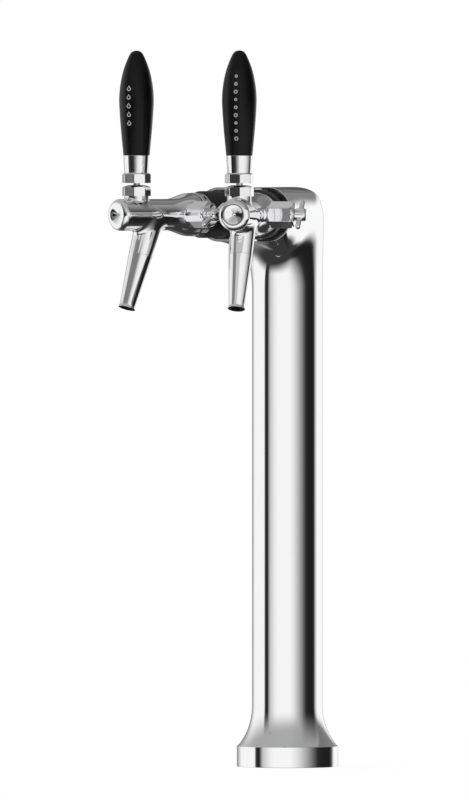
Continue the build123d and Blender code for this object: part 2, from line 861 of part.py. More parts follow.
def make_bonnet(tap):
    corner = nut_across_corners / 2 + fit
    half = corner / 2
    drop = bonnet_dome_radius - sqrt(bonnet_dome_radius**2 - corner**2)
    half_drop = bonnet_dome_radius - sqrt(bonnet_dome_radius**2 - half**2)
    with BuildPart() as bonnet:
        add(nut_blank(tap, neck_height, bonnet_top))
        with BuildSketch(tap.profile(lever_at)):
            with BuildLine():
                Polyline((0, bonnet_top), (0, 0), (corner, 0), (corner, bonnet_top - drop))
                ThreePointArc((corner, bonnet_top - drop), (half, bonnet_top - half_drop),
                              (0, bonnet_top))
            make_face()
        revolve(axis=tap.upright(), mode=Mode.INTERSECT)
        skirt = face_of(tap.profile(lever_at), (0, skirt_bottom), (skirt_radius, skirt_bottom),
                        (skirt_radius, pivot_height), (0, pivot_height))
        revolve(skirt, axis=tap.upright())
        # ball socket, open below, and the flared mouth that the stem swings in
        throat = sqrt((pivot_ball_radius + ball_gap) ** 2 - bonnet_throat_radius**2)
        with Locations(tap.at(lever_at, 0, pivot_height)):
            Sphere(pivot_ball_radius + ball_gap, mode=Mode.SUBTRACT)
        bore = face_of(tap.profile(lever_at), (0, skirt_bottom), (skirt_bore_radius, skirt_bottom),
                       (skirt_bore_radius, pivot_height - ball_gap), (0, pivot_height - ball_gap))
        revolve(bore, axis=tap.upright(), mode=Mode.SUBTRACT)
        mouth = face_of(tap.profile(lever_at), (0, pivot_height),
                        (bonnet_throat_radius, pivot_height),
                        (bonnet_throat_radius, pivot_height + throat),
                        (bonnet_mouth_radius, bonnet_top), (bonnet_mouth_radius, lock_nut_bottom),
                        (0, lock_nut_bottom))
        revolve(mouth, axis=tap.upright(), mode=Mode.SUBTRACT)
    save(bonnet, f"{tap.name}_bonnet_nut")

    with BuildPart() as seat:
        nose_top = pivot_height - lever_seat_drop
        outline = (
            (lever_seat_bore_radius, lever_seat_bottom),
            (skirt_radius, lever_seat_bottom),
            (skirt_radius, skirt_bottom),
            (lever_seat_nose_radius, skirt_bottom),
            (lever_seat_nose_radius, nose_top),
            (bonnet_throat_radius, nose_top - lever_seat_lip),
        )
        revolve(face_of(tap.profile(lever_at), *outline), axis=tap.upright())
    save(seat, f"{tap.name}_lever_seat")


def make_lever(tap):
    ferrule_seat = lock_nut_top
    stem_top = ferrule_top + grip_bore_depth - stem_end_gap
    with BuildPart() as stem:
        with Locations(tap.at(lever_at, 0, pivot_height)):
            Sphere(pivot_ball_radius)
        with BuildSketch(tap.level(lever_at, pivot_height)):
            Circle(stem_radius)
        extrude(amount=stem_top - pivot_height)
        with BuildSketch(tap.level(lever_at, 0)):
            Circle(tongue_radius)
        extrude(amount=pivot_height)
        with Locations(tap.at(lever_at, 0, 0)):
            Sphere(tip_ball_radius)
    save(stem, f"{tap.name}_lever_stem")

    corner = nut_across_corners / 2
    with BuildPart() as nut:
        add(nut_blank(tap, lock_nut_bottom, lock_nut_top))
        outline = ((0, lock_nut_bottom), (corner - lock_nut_foot_chamfer, lock_nut_bottom),
                   (corner + fit, lock_nut_bottom + lock_nut_foot_chamfer + fit),
                   (corner + fit, lock_nut_top - lock_nut_top_slope),
                   (corner - lock_nut_top_chamfer, lock_nut_top), (0, lock_nut_top))
        revolve(face_of(tap.profile(lever_at), *outline), axis=tap.upright(), mode=Mode.INTERSECT)
        with BuildSketch(tap.level(lever_at, lock_nut_bottom)):
            Circle(stem_radius)
        extrude(amount=lock_nut_top - lock_nut_bottom, mode=Mode.SUBTRACT)
    save(nut, f"{tap.name}_lock_nut")

    with BuildPart() as ferrule:
        outline = ((stem_radius, ferrule_seat), (ferrule_foot_radius, ferrule_seat),
                   (ferrule_top_radius, ferrule_top), (stem_radius, ferrule_top))
        revolve(face_of(tap.profile(lever_at), *outline), axis=tap.upright())
    save(ferrule, f"{tap.name}_ferrule")

    swell, taper = grip_radius - grip_foot_radius, grip_radius - grip_tip_radius
    shoulder, rise = grip_height - grip_tip_height, grip_height - grip_tip_height - grip_widest
    tip_sphere = (grip_tip_radius**2 + grip_tip_height**2) / (2 * grip_tip_height)
    halfway = grip_tip_radius / 2
    halfway_drop = tip_sphere - sqrt(tip_sphere**2 - halfway**2)
    with BuildPart() as grip:
        with BuildSketch(tap.profile(lever_at, ferrule_top)):
            with BuildLine():
                Polyline((0, grip_height), (0, grip_bore_depth), (grip_bore_radius, grip_bore_depth),
                         (grip_bore_radius, 0), (grip_foot_radius, 0))
                Spline(
                    (grip_foot_radius, 0),
                    (grip_foot_radius + grip_swell[0] * swell, grip_swell[1] * grip_widest),
                    (grip_radius, grip_widest),
                    *[(grip_tip_radius + a * taper, grip_widest + b * rise) for a, b in grip_taper],
                    (grip_tip_radius, shoulder),
                    tangents=(grip_foot_slope, grip_shoulder_slope),
                )
                ThreePointArc((grip_tip_radius, shoulder), (halfway, grip_height - halfway_drop),
                              (0, grip_height))
            make_face()
        revolve(axis=tap.upright())
    save(grip, f"{tap.name}_grip")


def make_piston(tap):
    seal_front = seat_at + seat_gap
    head_front = seal_front + piston_seal_thickness
    with BuildPart() as piston:
        land = piston_bore_radius - fit
        outline = ((piston_front, 0), (piston_front, land), (piston_land_end, land),
                   (piston_land_end, piston_rod_radius), (head_front, piston_rod_radius),
                   (head_front, piston_head_radius),
                   (head_front + piston_head_thickness, piston_head_radius),
                   (head_front + piston_head_thickness, 0))
        revolve(face_of(tap.profile(), *outline), axis=tap.axis())
        way = ((0, -piston_way_depth), (piston_way_radius, -piston_way_depth),
               (piston_way_radius, piston_way_throat), (piston_way_mouth, land),
               (piston_way_mouth, body_radius), (0, body_radius))
        revolve(face_of(tap.profile(lever_at), *way), axis=tap.upright(), mode=Mode.SUBTRACT)
    save(piston, f"{tap.name}_piston")

    with BuildPart() as seal:
        face = tube_face(tap.profile(), seal_front, head_front, piston_rod_radius, piston_seal_radius)
        revolve(face, axis=tap.axis())
    save(seal, f"{tap.name}_piston_seal")


# ------------------------------------------------------------------ flow control
def make_flow_control(tap):
    corner = flow_hex_corners / 2
    with BuildPart() as bonnet:
        with BuildSketch(tap.facing_out(flow_boss_face)):
            RegularPolygon(corner, 6, rotation=30)
        extrude(amount=flow_hex_end - flow_boss_face)
        outline = ((flow_boss_face, 0), (flow_boss_face, corner + fit),
                   (flow_hex_end - flow_hex_chamfer, corner + fit),
                   (flow_hex_end, flow_disc_radius), (flow_hex_end, 0))
        revolve(face_of(tap.flow_profile(), *outline), axis=tap.flow_axis(), mode=Mode.INTERSECT)
        disc = ((flow_hex_end, 0), (flow_hex_end, flow_disc_radius),
                (flow_disc_end - flow_disc_chamfer, flow_disc_radius),
                (flow_disc_end, flow_disc_radius - flow_disc_chamfer), (flow_disc_end, 0))
        revolve(face_of(tap.flow_profile(), *disc), axis=tap.flow_axis())
        spigot = tube_face(tap.flow_profile(), flow_spigot_end, flow_boss_face, 0, flow_spigot_radius)
        revolve(spigot, axis=tap.flow_axis())
        way = tube_face(tap.flow_profile(), flow_spigot_end, flow_disc_end, 0, spindle_radius + fit)
        revolve(way, axis=tap.flow_axis(), mode=Mode.SUBTRACT)
        recess = tube_face(
            tap.flow_profile(), flow_spigot_end, spindle_flange_front + fit, 0,
            spindle_flange_radius + fit,
        )
        revolve(recess, axis=tap.flow_axis(), mode=Mode.SUBTRACT)
    save(bonnet, f"{tap.name}_flow_bonnet")

    knob_start = flow_disc_end + ball_gap
    with BuildPart() as spindle:
        outline = (
            (spindle_flange_back, 0), (spindle_flange_back, spindle_flange_radius),
            (spindle_flange_front, spindle_flange_radius), (spindle_flange_front, spindle_radius),
            (knob_start, spindle_radius), (knob_start, knob_radius),
            (knob_end - knob_round, knob_radius), (knob_end, knob_radius - knob_round),
            (knob_end, 0),
        )
        revolve(face_of(tap.flow_profile(), *outline), axis=tap.flow_axis())
        crank = Plane(tap.at(flow_at, crank_pin_end, crank_throw), x_dir=tap.ahead, z_dir=tap.across)
        with BuildSketch(crank):
            Circle(crank_pin_radius)
        extrude(amount=spindle_flange_back - crank_pin_end)
        with BuildSketch(tee_plane(tap)):
            Circle(tee_radius)
        extrude(amount=knob_radius * 2, both=True, mode=Mode.SUBTRACT)
    save(spindle, f"{tap.name}_flow_spindle")

    with BuildPart() as tee:
        with BuildSketch(tee_plane(tap)):
            Circle(tee_radius)
        extrude(amount=tee_length / 2, both=True)
        ends = tee.edges().filter_by(GeomType.CIRCLE)
        fillet(ends, tee_end_round)
    save(tee, f"{tap.name}_flow_handle")

    with BuildPart() as cone:
        outline = ((cone_front, 0), (cone_front, cone_front_radius),
                   (cone_back - cone_land, cone_back_radius),
                   (cone_back, cone_back_radius), (cone_back, 0))
        revolve(face_of(tap.profile(), *outline), axis=tap.axis())
        slot = Plane(tap.at(flow_at, crank_pin_end - ball_gap), x_dir=tap.ahead, z_dir=tap.across)
        with BuildSketch(slot):
            Rectangle(2 * (crank_pin_radius + ball_gap), 4 * cone_back_radius)
        extrude(amount=2 * cone_back_radius, mode=Mode.SUBTRACT)
    save(cone, f"{tap.name}_flow_cone")


def tee_plane(tap):
    lean = radians(tap.tee_lean)
    along = Vector(0, 0, cos(lean)) - tap.ahead * sin(lean)
    return Plane(tap.at(flow_at, tee_at), x_dir=tap.across, z_dir=along)


os.makedirs("parts", exist_ok=True)
make_tower_shell()
make_base()
make_face_plate()
for tap in TAPS:
    make_coupling(tap)
    make_tap_body(tap)
    make_end_cap(tap)
    make_nozzle(tap)
    make_bonnet(tap)
    make_lever(tap)
    make_piston(tap)
    make_flow_control(tap)
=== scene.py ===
import json
from math import atan2, cos, degrees, hypot, pi, radians, sin, sqrt, tan

import bmesh
import bpy
import numpy as np
from mathutils import Matrix, Vector


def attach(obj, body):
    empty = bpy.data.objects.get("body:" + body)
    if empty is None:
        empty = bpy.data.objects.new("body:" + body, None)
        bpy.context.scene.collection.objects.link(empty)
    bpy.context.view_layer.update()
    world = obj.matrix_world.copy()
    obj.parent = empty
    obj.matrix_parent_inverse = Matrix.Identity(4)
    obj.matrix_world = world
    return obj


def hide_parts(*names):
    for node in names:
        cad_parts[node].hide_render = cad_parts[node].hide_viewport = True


# Two-tap counter tower: polished casting, two taps with black grips. Sizes are in millimetres.

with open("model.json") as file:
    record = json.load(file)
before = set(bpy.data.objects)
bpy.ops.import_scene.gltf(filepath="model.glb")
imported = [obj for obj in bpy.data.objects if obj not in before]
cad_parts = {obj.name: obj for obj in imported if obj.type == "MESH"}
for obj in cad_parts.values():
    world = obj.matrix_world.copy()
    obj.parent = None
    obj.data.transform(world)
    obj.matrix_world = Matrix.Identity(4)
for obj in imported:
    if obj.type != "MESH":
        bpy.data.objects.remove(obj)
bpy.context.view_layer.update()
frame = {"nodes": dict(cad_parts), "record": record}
MM = 0.001

# ------------------------------------------------------------------ sizes
# Casting: base, flare, the column's arcs, neck and head.
WALL = 3.0
BASE_R, RIM_H, RIM_ROUND = 50.8, 21.0, 0.8
FLARE_R, FLARE_TOP = 60.0, 61.0
FLARE_FOOT_R = BASE_R - RIM_ROUND - 0.3
ARC_RADII, ARC_ENDS = (36.0, 30.0, 65.0), (38.0, 92.5, 121.5)
NECK_START, FACE_Y = 478.0, -85.0
HEAD_W, HEAD_H, HEAD_ROUND = 56.3, 27.25, 30.3
LIP, LEDGE, PLATE_BACK = 3.0, 2.5, 6.0
RING_R, RING_T, RING_STEP = 45.8, 8.0, 6.0
NECK_STEPS, FLARE_STEPS, COLUMN_STEPS, HALF_STEPS = 120, 40, 30, 96
# Taps: where they stand, then each one's body, spout, nuts, lever, collar and flow control.
TAP_Z, SPLAY, MEET_Y, REACH = 553.5, 18.2, -8.0, 213.1
BODY_R, BODY_SWELL, SWELL_FROM, SWELL_LONG = 15.6, 5.9, 60.0, 28.0
BODY_END, THREAD_R, THREAD_END = 92, 18.1, 98.5
NECK_R, BOSS_R, STUB_R, STUB_NARROWS = 12.2, 11.6, 13.9, 2.0
NECK_BLEND, BOSS_BLEND, STUB_BLEND = 2.5, 1.5, 5.5
SOCKET_R, FLOW_BORE_R = 9.1, 10.1
SPOUT_T, SPOUT_LEAN, SPOUT_SEAM, SPOUT_END = 40.0, 18.8, 43.0, 98.3
SPOUT_R, SPOUT_NARROWS, SPOUT_LIP, SPOUT_BORE_R = 11.9, 4.0, 3.0, 6.0
LEVER_T, NUT_SIDES, NUT_CORNER = 21.0, 8, 14.6
BONNET_FOOT, BONNET_TOP = 18.7, 33.0
LOCKNUT_FOOT, LOCKNUT_TOP, STEM_R = 31.6, 41.5, 3.5
GRIP_FOOT, GRIP_TALL, GRIP_SOCKET = 59.2, 104.2, 40
COLLAR_R, COLLAR_FROM, COLLAR_TO = 21.9, 93.6, 103.6
SLOTS, SLOT_AT, SLOT_TURN = 6, 98.6, 40
SLOT_LONG, SLOT_WIDE, SLOT_DEEP = 4.6, 2.2, 4.0
SLEEVE_R, SLEEVE_BORE_R, SLEEVE_EDGE, SLEEVE_SUNK = 23.4, 8.05, 0.5, 2.0
FLOW_T, FLOW_FACE = 81.6, 18.5
GLAND_SIDES, GLAND_CORNER, GLAND_END, GLAND_BORE_R = 6, 13.5, 40.4, 4.6
KNOB_R, KNOB_END, PIN_AT, PIN_R, PIN_HALF = 6.4, 54.5, 48.0, 2.75, 18.0
CRANK_R, CRANK_LONG, CRANK_AT, CRANK_OFF = 1.8, 7.0, 7.5, 3.5
# Marks down a grip: first one below the top, step, count and turn aside from the front.
DROP_ROW, DROP_SIZE, DROP_LINE = (38.0, 8.6, 5, -27.0), 2.3, 1.0
RING_ROW, RING_SIZES, RING_LINE = (25.5, 7.75, 9, -12.0), (1.5, 1.75, 2.0), 0.95
MARK_LIFT, MARK_STEPS = 0.06, 24
# The front three-quarter view: in degrees, its distance in metres, the rest in millimetres.
CAMERA_TURN, CAMERA_RISE, CAMERA_FAR = 31.5, 0.8, 20.0
CAMERA_LENS, CAMERA_SENSOR = 898.2, 36.0
AIM_ASIDE, AIM_HIGH = -53.15, 367.3


# ------------------------------------------------------------------ where the taps stand
class Tap:
    """One tap's own directions: t runs back from the nose, q out to the flow knob, h up."""

    def __init__(self, name, side, nut_turn, tee_lean):
        self.name, self.nut_turn, self.tee_lean = name, nut_turn, tee_lean
        s = radians(SPLAY)
        self.ahead = Vector((side * sin(s), -cos(s), 0))
        self.across = Vector((cos(s), side * sin(s), 0))
        self.nose = Vector((0, MEET_Y, TAP_Z)) + self.ahead * REACH

    def at(self, t=0, q=0, h=0):
        return self.nose - self.ahead * t + self.across * q + Vector((0, 0, h))

    def place(self, origin, axis, start):
        """Matrix whose z runs along the axis and x towards the start direction."""
        z = axis.normalized()
        x = (start - z * start.dot(z)).normalized()
        y = z.cross(x)
        return Matrix.Translation(origin) @ Matrix((x, y, z)).transposed().to_4x4()

    def along(self):
        return self.place(self.at(), -self.ahead, Vector((0, 0, 1)))

    def upright(self):
        return self.place(self.at(LEVER_T), Vector((0, 0, 1)), self.ahead)

    def outward(self):
        return self.place(self.at(FLOW_T), self.across, Vector((0, 0, 1)))

    def spout_way(self):
        lean = radians(SPOUT_LEAN)
        return self.ahead * sin(lean) - Vector((0, 0, cos(lean)))

    def down_spout(self):
        return self.place(self.at(SPOUT_T), self.spout_way(), self.ahead)


# Name, side, turn of the lever's two nuts, and lean of the flow control's cross pin.
TAPS = (Tap("left", -1, 40.2, 54.0), Tap("right", 1, 16.8, 42.0))


# ------------------------------------------------------------------ mesh helpers
ON_AXIS = 1e-4
CORNER_STEPS = 4
LEAST_CORNER = radians(18)
CORNER_SHARE = 0.4
SAME_SPOT = 1e-8
ALONG_AXIS = 0.9
# Sharpest angle in degrees that still shades smooth: on turned pieces, nuts, slots, casting.
TURNED_EDGE, NUT_EDGE, SLOT_EDGE, CASTING_EDGE = 40.0, 25, 30, 50


def new_piece(name, verts, faces):
    mesh = bpy.data.meshes.new(name)
    mesh.from_pydata([tuple(c * MM for c in v) for v in verts], [], faces)
    mesh.validate()
    mesh.shade_smooth()
    piece = bpy.data.objects.new(name, mesh)
    bpy.context.scene.collection.objects.link(piece)
    return piece


def finished(piece):
    """Bake the modifiers of a piece into its mesh."""
    bpy.context.view_layer.update()
    graph = bpy.context.evaluated_depsgraph_get()
    mesh = bpy.data.meshes.new_from_object(piece.evaluated_get(graph), depsgraph=graph)
    piece.modifiers.clear()
    old, piece.data = piece.data, mesh
    mesh.name = piece.name
    bpy.data.meshes.remove(old)
    return piece


def crisp(piece, angle=TURNED_EDGE):
    """Smooth faces, sharp edges, and flats that stay flat."""
    piece.data.shade_smooth()
    piece.data.set_sharp_from_angle(angle=radians(angle))
    steady = piece.modifiers.new("steady", "WEIGHTED_NORMAL")
    steady.keep_sharp = True
    steady.weight = 80
    return finished(piece)


def softened(points, radius, closed):
    """Round the corners of an outline of straight runs by small arcs."""
    points = [p for p, last in zip(points, [points[-1] if closed else None] + points) if p != last]
    if radius == 0:
        return points
    out = []
    count = len(points)
    for i, point in enumerate(points):
        here = Vector(point)
        if here.x < ON_AXIS or (not closed and i in (0, count - 1)):
            out.append(tuple(here))
            continue
        back, on = Vector(points[i - 1]) - here, Vector(points[(i + 1) % count]) - here
        turn = pi - back.angle(on)
        if turn < LEAST_CORNER:
            out.append(tuple(here))
            continue
        reach = min(radius * tan(turn / 2), CORNER_SHARE * back.length, CORNER_SHARE * on.length)
        start, end = here + back.normalized() * reach, here + on.normalized() * reach
        for k in range(CORNER_STEPS + 1):
            s = k / CORNER_STEPS
            out.append(tuple(start * (1 - s) ** 2 + here * 2 * s * (1 - s) + end * s**2))
    return out


def turned(name, place, outline, soft=0.35, closed=False, steps=128):
    """Turn an outline of (radius, height) about the place's z axis."""
    outline = softened(outline, soft, closed)
    verts, rings = [], []
    for r, z in outline:
        if r < ON_AXIS:
            rings.append([len(verts)])
            verts.append(place @ Vector((0, 0, z)))
            continue
        rings.append(list(range(len(verts), len(verts) + steps)))
        for k in range(steps):
            a = 2 * pi * k / steps
            verts.append(place @ Vector((r * cos(a), r * sin(a), z)))
    faces = []
    pairs = list(zip(rings, rings[1:] + (rings[:1] if closed else [])))
    if not closed:
        pairs = pairs[: len(rings) - 1]
    for low, high in pairs:
        for k in range(steps):
            n = (k + 1) % steps
            if len(low) == 1 and len(high) == 1:
                break
            if len(low) == 1:
                faces.append((low[0], high[n], high[k]))
            elif len(high) == 1:
                faces.append((low[k], low[n], high[0]))
            else:
                faces.append((low[k], low[n], high[n], high[k]))
    return outward_faces(new_piece(name, verts, faces))


def rod(name, place, radius, start, end, steps=48, soft=0):
    """A plain round rod from start to end along the place's z axis."""
    return turned(name, place, [(0, start), (radius, start), (radius, end), (0, end)], soft,
                  steps=steps)


def outward_faces(piece):
    bm = bmesh.new()
    bm.from_mesh(piece.data)
    bmesh.ops.remove_doubles(bm, verts=bm.verts, dist=SAME_SPOT)
    bmesh.ops.recalc_face_normals(bm, faces=bm.faces)
    bm.to_mesh(piece.data)
    bm.free()
    return piece


def prism(name, place, sides, corner, low, high, turn, edge=0.5):
    """A nut's blank between two heights, its upright edges softened."""
    verts = []
    for z in (low, high):
        for k in range(sides):
            a = radians(turn) + 2 * pi * k / sides
            verts.append(place @ Vector((corner * cos(a), corner * sin(a), z)))
    faces = [tuple(range(sides))[::-1], tuple(range(sides, 2 * sides))]
    faces += [(k, (k + 1) % sides, sides + (k + 1) % sides, sides + k) for k in range(sides)]
    piece = new_piece(name, verts, faces)
    bm = bmesh.new()
    bm.from_mesh(piece.data)
    bm.edges.ensure_lookup_table()
    axis = (place.to_3x3() @ Vector((0, 0, 1))).normalized()
    upright = [e for e in bm.edges
               if abs((e.verts[0].co - e.verts[1].co).normalized().dot(axis)) > ALONG_AXIS]
    bmesh.ops.bevel(bm, geom=upright, offset=edge * MM, segments=3, affect="EDGES", profile=0.5)
    bm.to_mesh(piece.data)
    bm.free()
    return piece


def combined(piece, others, how):
    """Boolean with other pieces, which are used up."""
    for other in others:
        cut = piece.modifiers.new("cut", "BOOLEAN")
        cut.operation, cut.solver, cut.object = how, "MANIFOLD", other
        cut.material_mode = "TRANSFER"
    finished(piece)
    for other in others:
        bpy.data.objects.remove(other)
    return piece


def joined(name, pieces):
    """One piece with the meshes of several, which are used up."""
    bm = bmesh.new()
    for piece in pieces:
        bm.from_mesh(piece.data)
        used_up = piece.data
        bpy.data.objects.remove(piece)
        bpy.data.meshes.remove(used_up)
    mesh = bpy.data.meshes.new(name)
    bm.to_mesh(mesh)
    bm.free()
    mesh.shade_smooth()
    whole = bpy.data.objects.new(name, mesh)
    bpy.context.scene.collection.objects.link(whole)
    return whole


# ------------------------------------------------------------------ materials
GRAIN_FINER, GRAIN_DEEP = 12, 0.0001


def material(name, color, metallic=0.0, rough=0.4, **sockets):
    """A material with fine variation of its gloss, and a faint grain where asked."""
    grain = sockets.pop("grain", 0.0)
    spread = sockets.pop("spread", 0.02)
    scale = sockets.pop("scale", 60.0)
    stretch = sockets.pop("stretch", (1.0, 1.0, 1.0))
    mat = bpy.data.materials.new(name)
    mat.use_nodes = True
    nodes, links = mat.node_tree.nodes, mat.node_tree.links
    shader = nodes["Principled BSDF"]
    shader.inputs["Base Color"].default_value = (*color, 1)
    shader.inputs["Metallic"].default_value = metallic
    for key, value in sockets.items():
        shader.inputs[key].default_value = value
    coords = nodes.new("ShaderNodeTexCoord")
    mapping = nodes.new("ShaderNodeMapping")
    mapping.inputs["Scale"].default_value = stretch
    links.new(coords.outputs["Object"], mapping.inputs["Vector"])
    noise = nodes.new("ShaderNodeTexNoise")
    noise.inputs["Scale"].default_value = scale
    noise.inputs["Detail"].default_value = 4.0
    links.new(mapping.outputs["Vector"], noise.inputs["Vector"])
    spread_map = nodes.new("ShaderNodeMapRange")
    spread_map.inputs["To Min"].default_value = max(rough - spread, 0.0)
    spread_map.inputs["To Max"].default_value = rough + spread
    links.new(noise.outputs["Fac"], spread_map.inputs["Value"])
    links.new(spread_map.outputs["Result"], shader.inputs["Roughness"])
    if grain:
        fine = nodes.new("ShaderNodeTexNoise")
        fine.inputs["Scale"].default_value = scale * GRAIN_FINER
        fine.inputs["Detail"].default_value = 3.0
        links.new(mapping.outputs["Vector"], fine.inputs["Vector"])
        bump = nodes.new("ShaderNodeBump")
        bump.inputs["Strength"].default_value = grain
        bump.inputs["Distance"].default_value = GRAIN_DEEP
        links.new(fine.outputs["Fac"], bump.inputs["Height"])
        links.new(bump.outputs["Normal"], shader.inputs["Normal"])
    return mat


CHROME = material("polished_chrome", (0.93, 0.93, 0.94), 1.0, 0.045, spread=0.02, scale=35.0)
TAP_CHROME = material("turned_chrome", (0.90, 0.90, 0.91), 1.0, 0.05, spread=0.02, scale=35.0)
# Painted shade: near-black, with hardly any gloss, for the spout's bore and the end face of its
# mouth.
SPOUT_PAINTED_SHADE = material("spout_painted_shade", (0.010, 0.010, 0.010), 0.0, 0.5, spread=0.05,
                        **{"Specular IOR Level": 0.08})
# Painted shade: a dark material on the cut faces of the collar slots, standing in for shade in the
# recesses.
SLOT_PAINTED_SHADE = material("slot_painted_shade", (0.05, 0.05, 0.052), 0.6, 0.45, spread=0.05)
STEEL = material("plain_steel", (0.62, 0.62, 0.63), 1.0, 0.3, spread=0.06, grain=0.12, scale=90.0)
PIPE = material("drawn_steel", (0.66, 0.66, 0.67), 1.0, 0.24, spread=0.05, scale=40.0,
                stretch=(6.0, 6.0, 0.4))
PLATE = material("dark_plate", (0.05, 0.05, 0.055), 0.0, 0.5, spread=0.05, grain=0.2, scale=80.0)
BLACK = material("black_plastic", (0.012, 0.012, 0.013), 0.0, 0.42, spread=0.05, grain=0.15)
GRIP = material("grip_black", (0.005, 0.005, 0.006), 0.0, 0.3, spread=0.05, grain=0.1,
                scale=50.0, stretch=(1.0, 1.0, 0.15), **{"Specular IOR Level": 0.22})
WHITE = material("white_plastic", (0.8, 0.8, 0.78), 0.0, 0.4, spread=0.04)
RUBBER = material("moulded_rubber", (0.02, 0.02, 0.02), 0.0, 0.7, spread=0.06, grain=0.3)
MARK = material("pad_print_grey", (0.72, 0.72, 0.73), 0.0, 0.5, spread=0.03)
CAD_LOOKS = {
    "chrome": CHROME, "steel": STEEL, "pipe_steel": PIPE, "plate_grey": PLATE,
    "black_plastic": BLACK, "grip_black": GRIP, "white_plastic": WHITE, "rubber": RUBBER,
}


def dress(piece, look, body, slot, *nodes):
    """Give a finished piece its material, the body it rides on and the nodes it stands for."""
    piece.data.materials.clear()
    piece.data.materials.append(look)
    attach(piece, body)
    if nodes:
        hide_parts(*nodes)
    return piece


# ------------------------------------------------------------------ tower casting
def column_arcs():
    """Centre, radius and end angle of each arc of the column's half section."""
    x, y, radius, turn = 0.0, 0.0, ARC_RADII[0], ARC_ENDS[0]
    arcs = [(x, y, radius, turn)]
    for next_radius, end in zip(ARC_RADII[1:], ARC_ENDS[1:]):
        x += (radius - next_radius) * sin(radians(turn))
        y -= (radius - next_radius) * cos(radians(turn))
        arcs.append((x, y, next_radius, end))
        radius, turn = next_radius, end
    back = radius + x / sin(radians(turn))
    arcs.append((0.0, y - (radius - back) * cos(radians(turn)), back, 180.0))
    return arcs


COLUMN_ARCS = column_arcs()


def column_point(share):
    """Point and outward angle at a share of the way round the column's half section."""
    starts = [0.0] + [arc[3] for arc in COLUMN_ARCS[:-1]]
    lengths = [radians(arc[3] - s) * arc[2] for arc, s in zip(COLUMN_ARCS, starts)]
    walked = share * sum(lengths)
    for (x, y, radius, end), start, length in zip(COLUMN_ARCS, starts, lengths):
        if walked <= length or end == 180.0:
            a = radians(start) + walked / radius
            return x + radius * sin(a), y - radius * cos(a), a
        walked -= length


def mouth_point(share, width, height):
    """The same for the head's mouth, a slot with round ends."""
    flat = width - height
    walked = share * (2 * flat + pi * height)
    if walked <= flat:
        return walked, -height, 0.0
    if walked <= flat + pi * height:
        a = (walked - flat) / height
        return flat + height * sin(a), -height * cos(a), a
    return flat - (walked - flat - pi * height), height, pi


SHARES = [k / HALF_STEPS for k in range(HALF_STEPS + 1)]
COLUMN = [column_point(s) for s in SHARES]
FRONT, BACK = COLUMN[0][1], COLUMN[-1][1]
COLUMN_W = max(x for x, _, _ in COLUMN)
COLUMN_D = (BACK - FRONT) / 2
BEND_Y = BACK - FACE_Y - HEAD_ROUND
BEND_Z = TAP_Z + HEAD_H - NECK_START - HEAD_ROUND


def neck_reach(lean):
    """How far the neck's inner and outer side lie from the bend's centre at one lean."""
    inner, rise = FRONT - FACE_Y, TAP_Z - HEAD_H - NECK_START
    c, s = cos(lean), sin(lean)
    inner_here = 1 / hypot(c / inner, s / rise)
    depth, height = BEND_Y + HEAD_ROUND, BEND_Z + HEAD_ROUND
    if depth * s <= BEND_Z * c:
        return inner_here, depth / c
    if height * c <= BEND_Y * s:
        return inner_here, height / s
    middle = BEND_Y * c + BEND_Z * s
    return inner_here, middle + sqrt(middle**2 - BEND_Y**2 - BEND_Z**2 + HEAD_ROUND**2)


def neck_ring(lean, inset):
    """Half outline of the neck at one lean, in space."""
    inner, outer = neck_reach(lean)
    middle, half_depth = (outer + inner) / 2, (outer - inner) / 2
    taper = 1 - middle * cos(lean) / (COLUMN_D + FRONT - FACE_Y)
    half_width = COLUMN_W + (HEAD_W - COLUMN_W) * taper
    turn = lean / (pi / 2)
    blend = turn**2 * (3 - 2 * turn)
    if inset:
        inset += LEDGE * blend
    ring = []
    for share, (x, y, a) in zip(SHARES, COLUMN):
        x, y = x / COLUMN_W, (y - (FRONT + BACK) / 2) / COLUMN_D
        mx, my, ma = mouth_point(share, HEAD_W, HEAD_H)
        x, y = x + blend * (mx / HEAD_W - x), y + blend * (my / HEAD_H - y)
        a += blend * (ma - a)
        u, v = x * half_width - inset * sin(a), middle + y * half_depth + inset * cos(a)
        ring.append((u, FACE_Y + v * cos(lean), NECK_START + v * sin(lean)))
    return ring


def flare_ring(z, inset):
    """Half outline of the column, or of the flare that spreads from it to the round base."""
    drop = max(0.0, FLARE_TOP - z)
    grown = FLARE_R - sqrt(FLARE_R**2 - (FLARE_TOP - RIM_H) ** 2)
    blend = (FLARE_R - sqrt(FLARE_R**2 - drop**2)) / grown
    foot = FLARE_FOOT_R - inset
    ring = []
    for x, y, a in COLUMN:
        x, y = x - inset * sin(a), y + inset * cos(a)
        ring.append((x + blend * (foot * sin(a) - x), y + blend * (-foot * cos(a) - y), z))
    return ring


def round_ring(radius, z):
    return [(radius * sin(a), -radius * cos(a), z) for _, _, a in COLUMN]


def mouth_ring(depth, inset):
    """Half outline of the head's mouth, so far in from its face."""
    ring = []
    for share in SHARES:
        x, y, _ = mouth_point(share, HEAD_W - inset, HEAD_H - inset)
        ring.append((x, FACE_Y + depth, TAP_Z + y))
    return ring


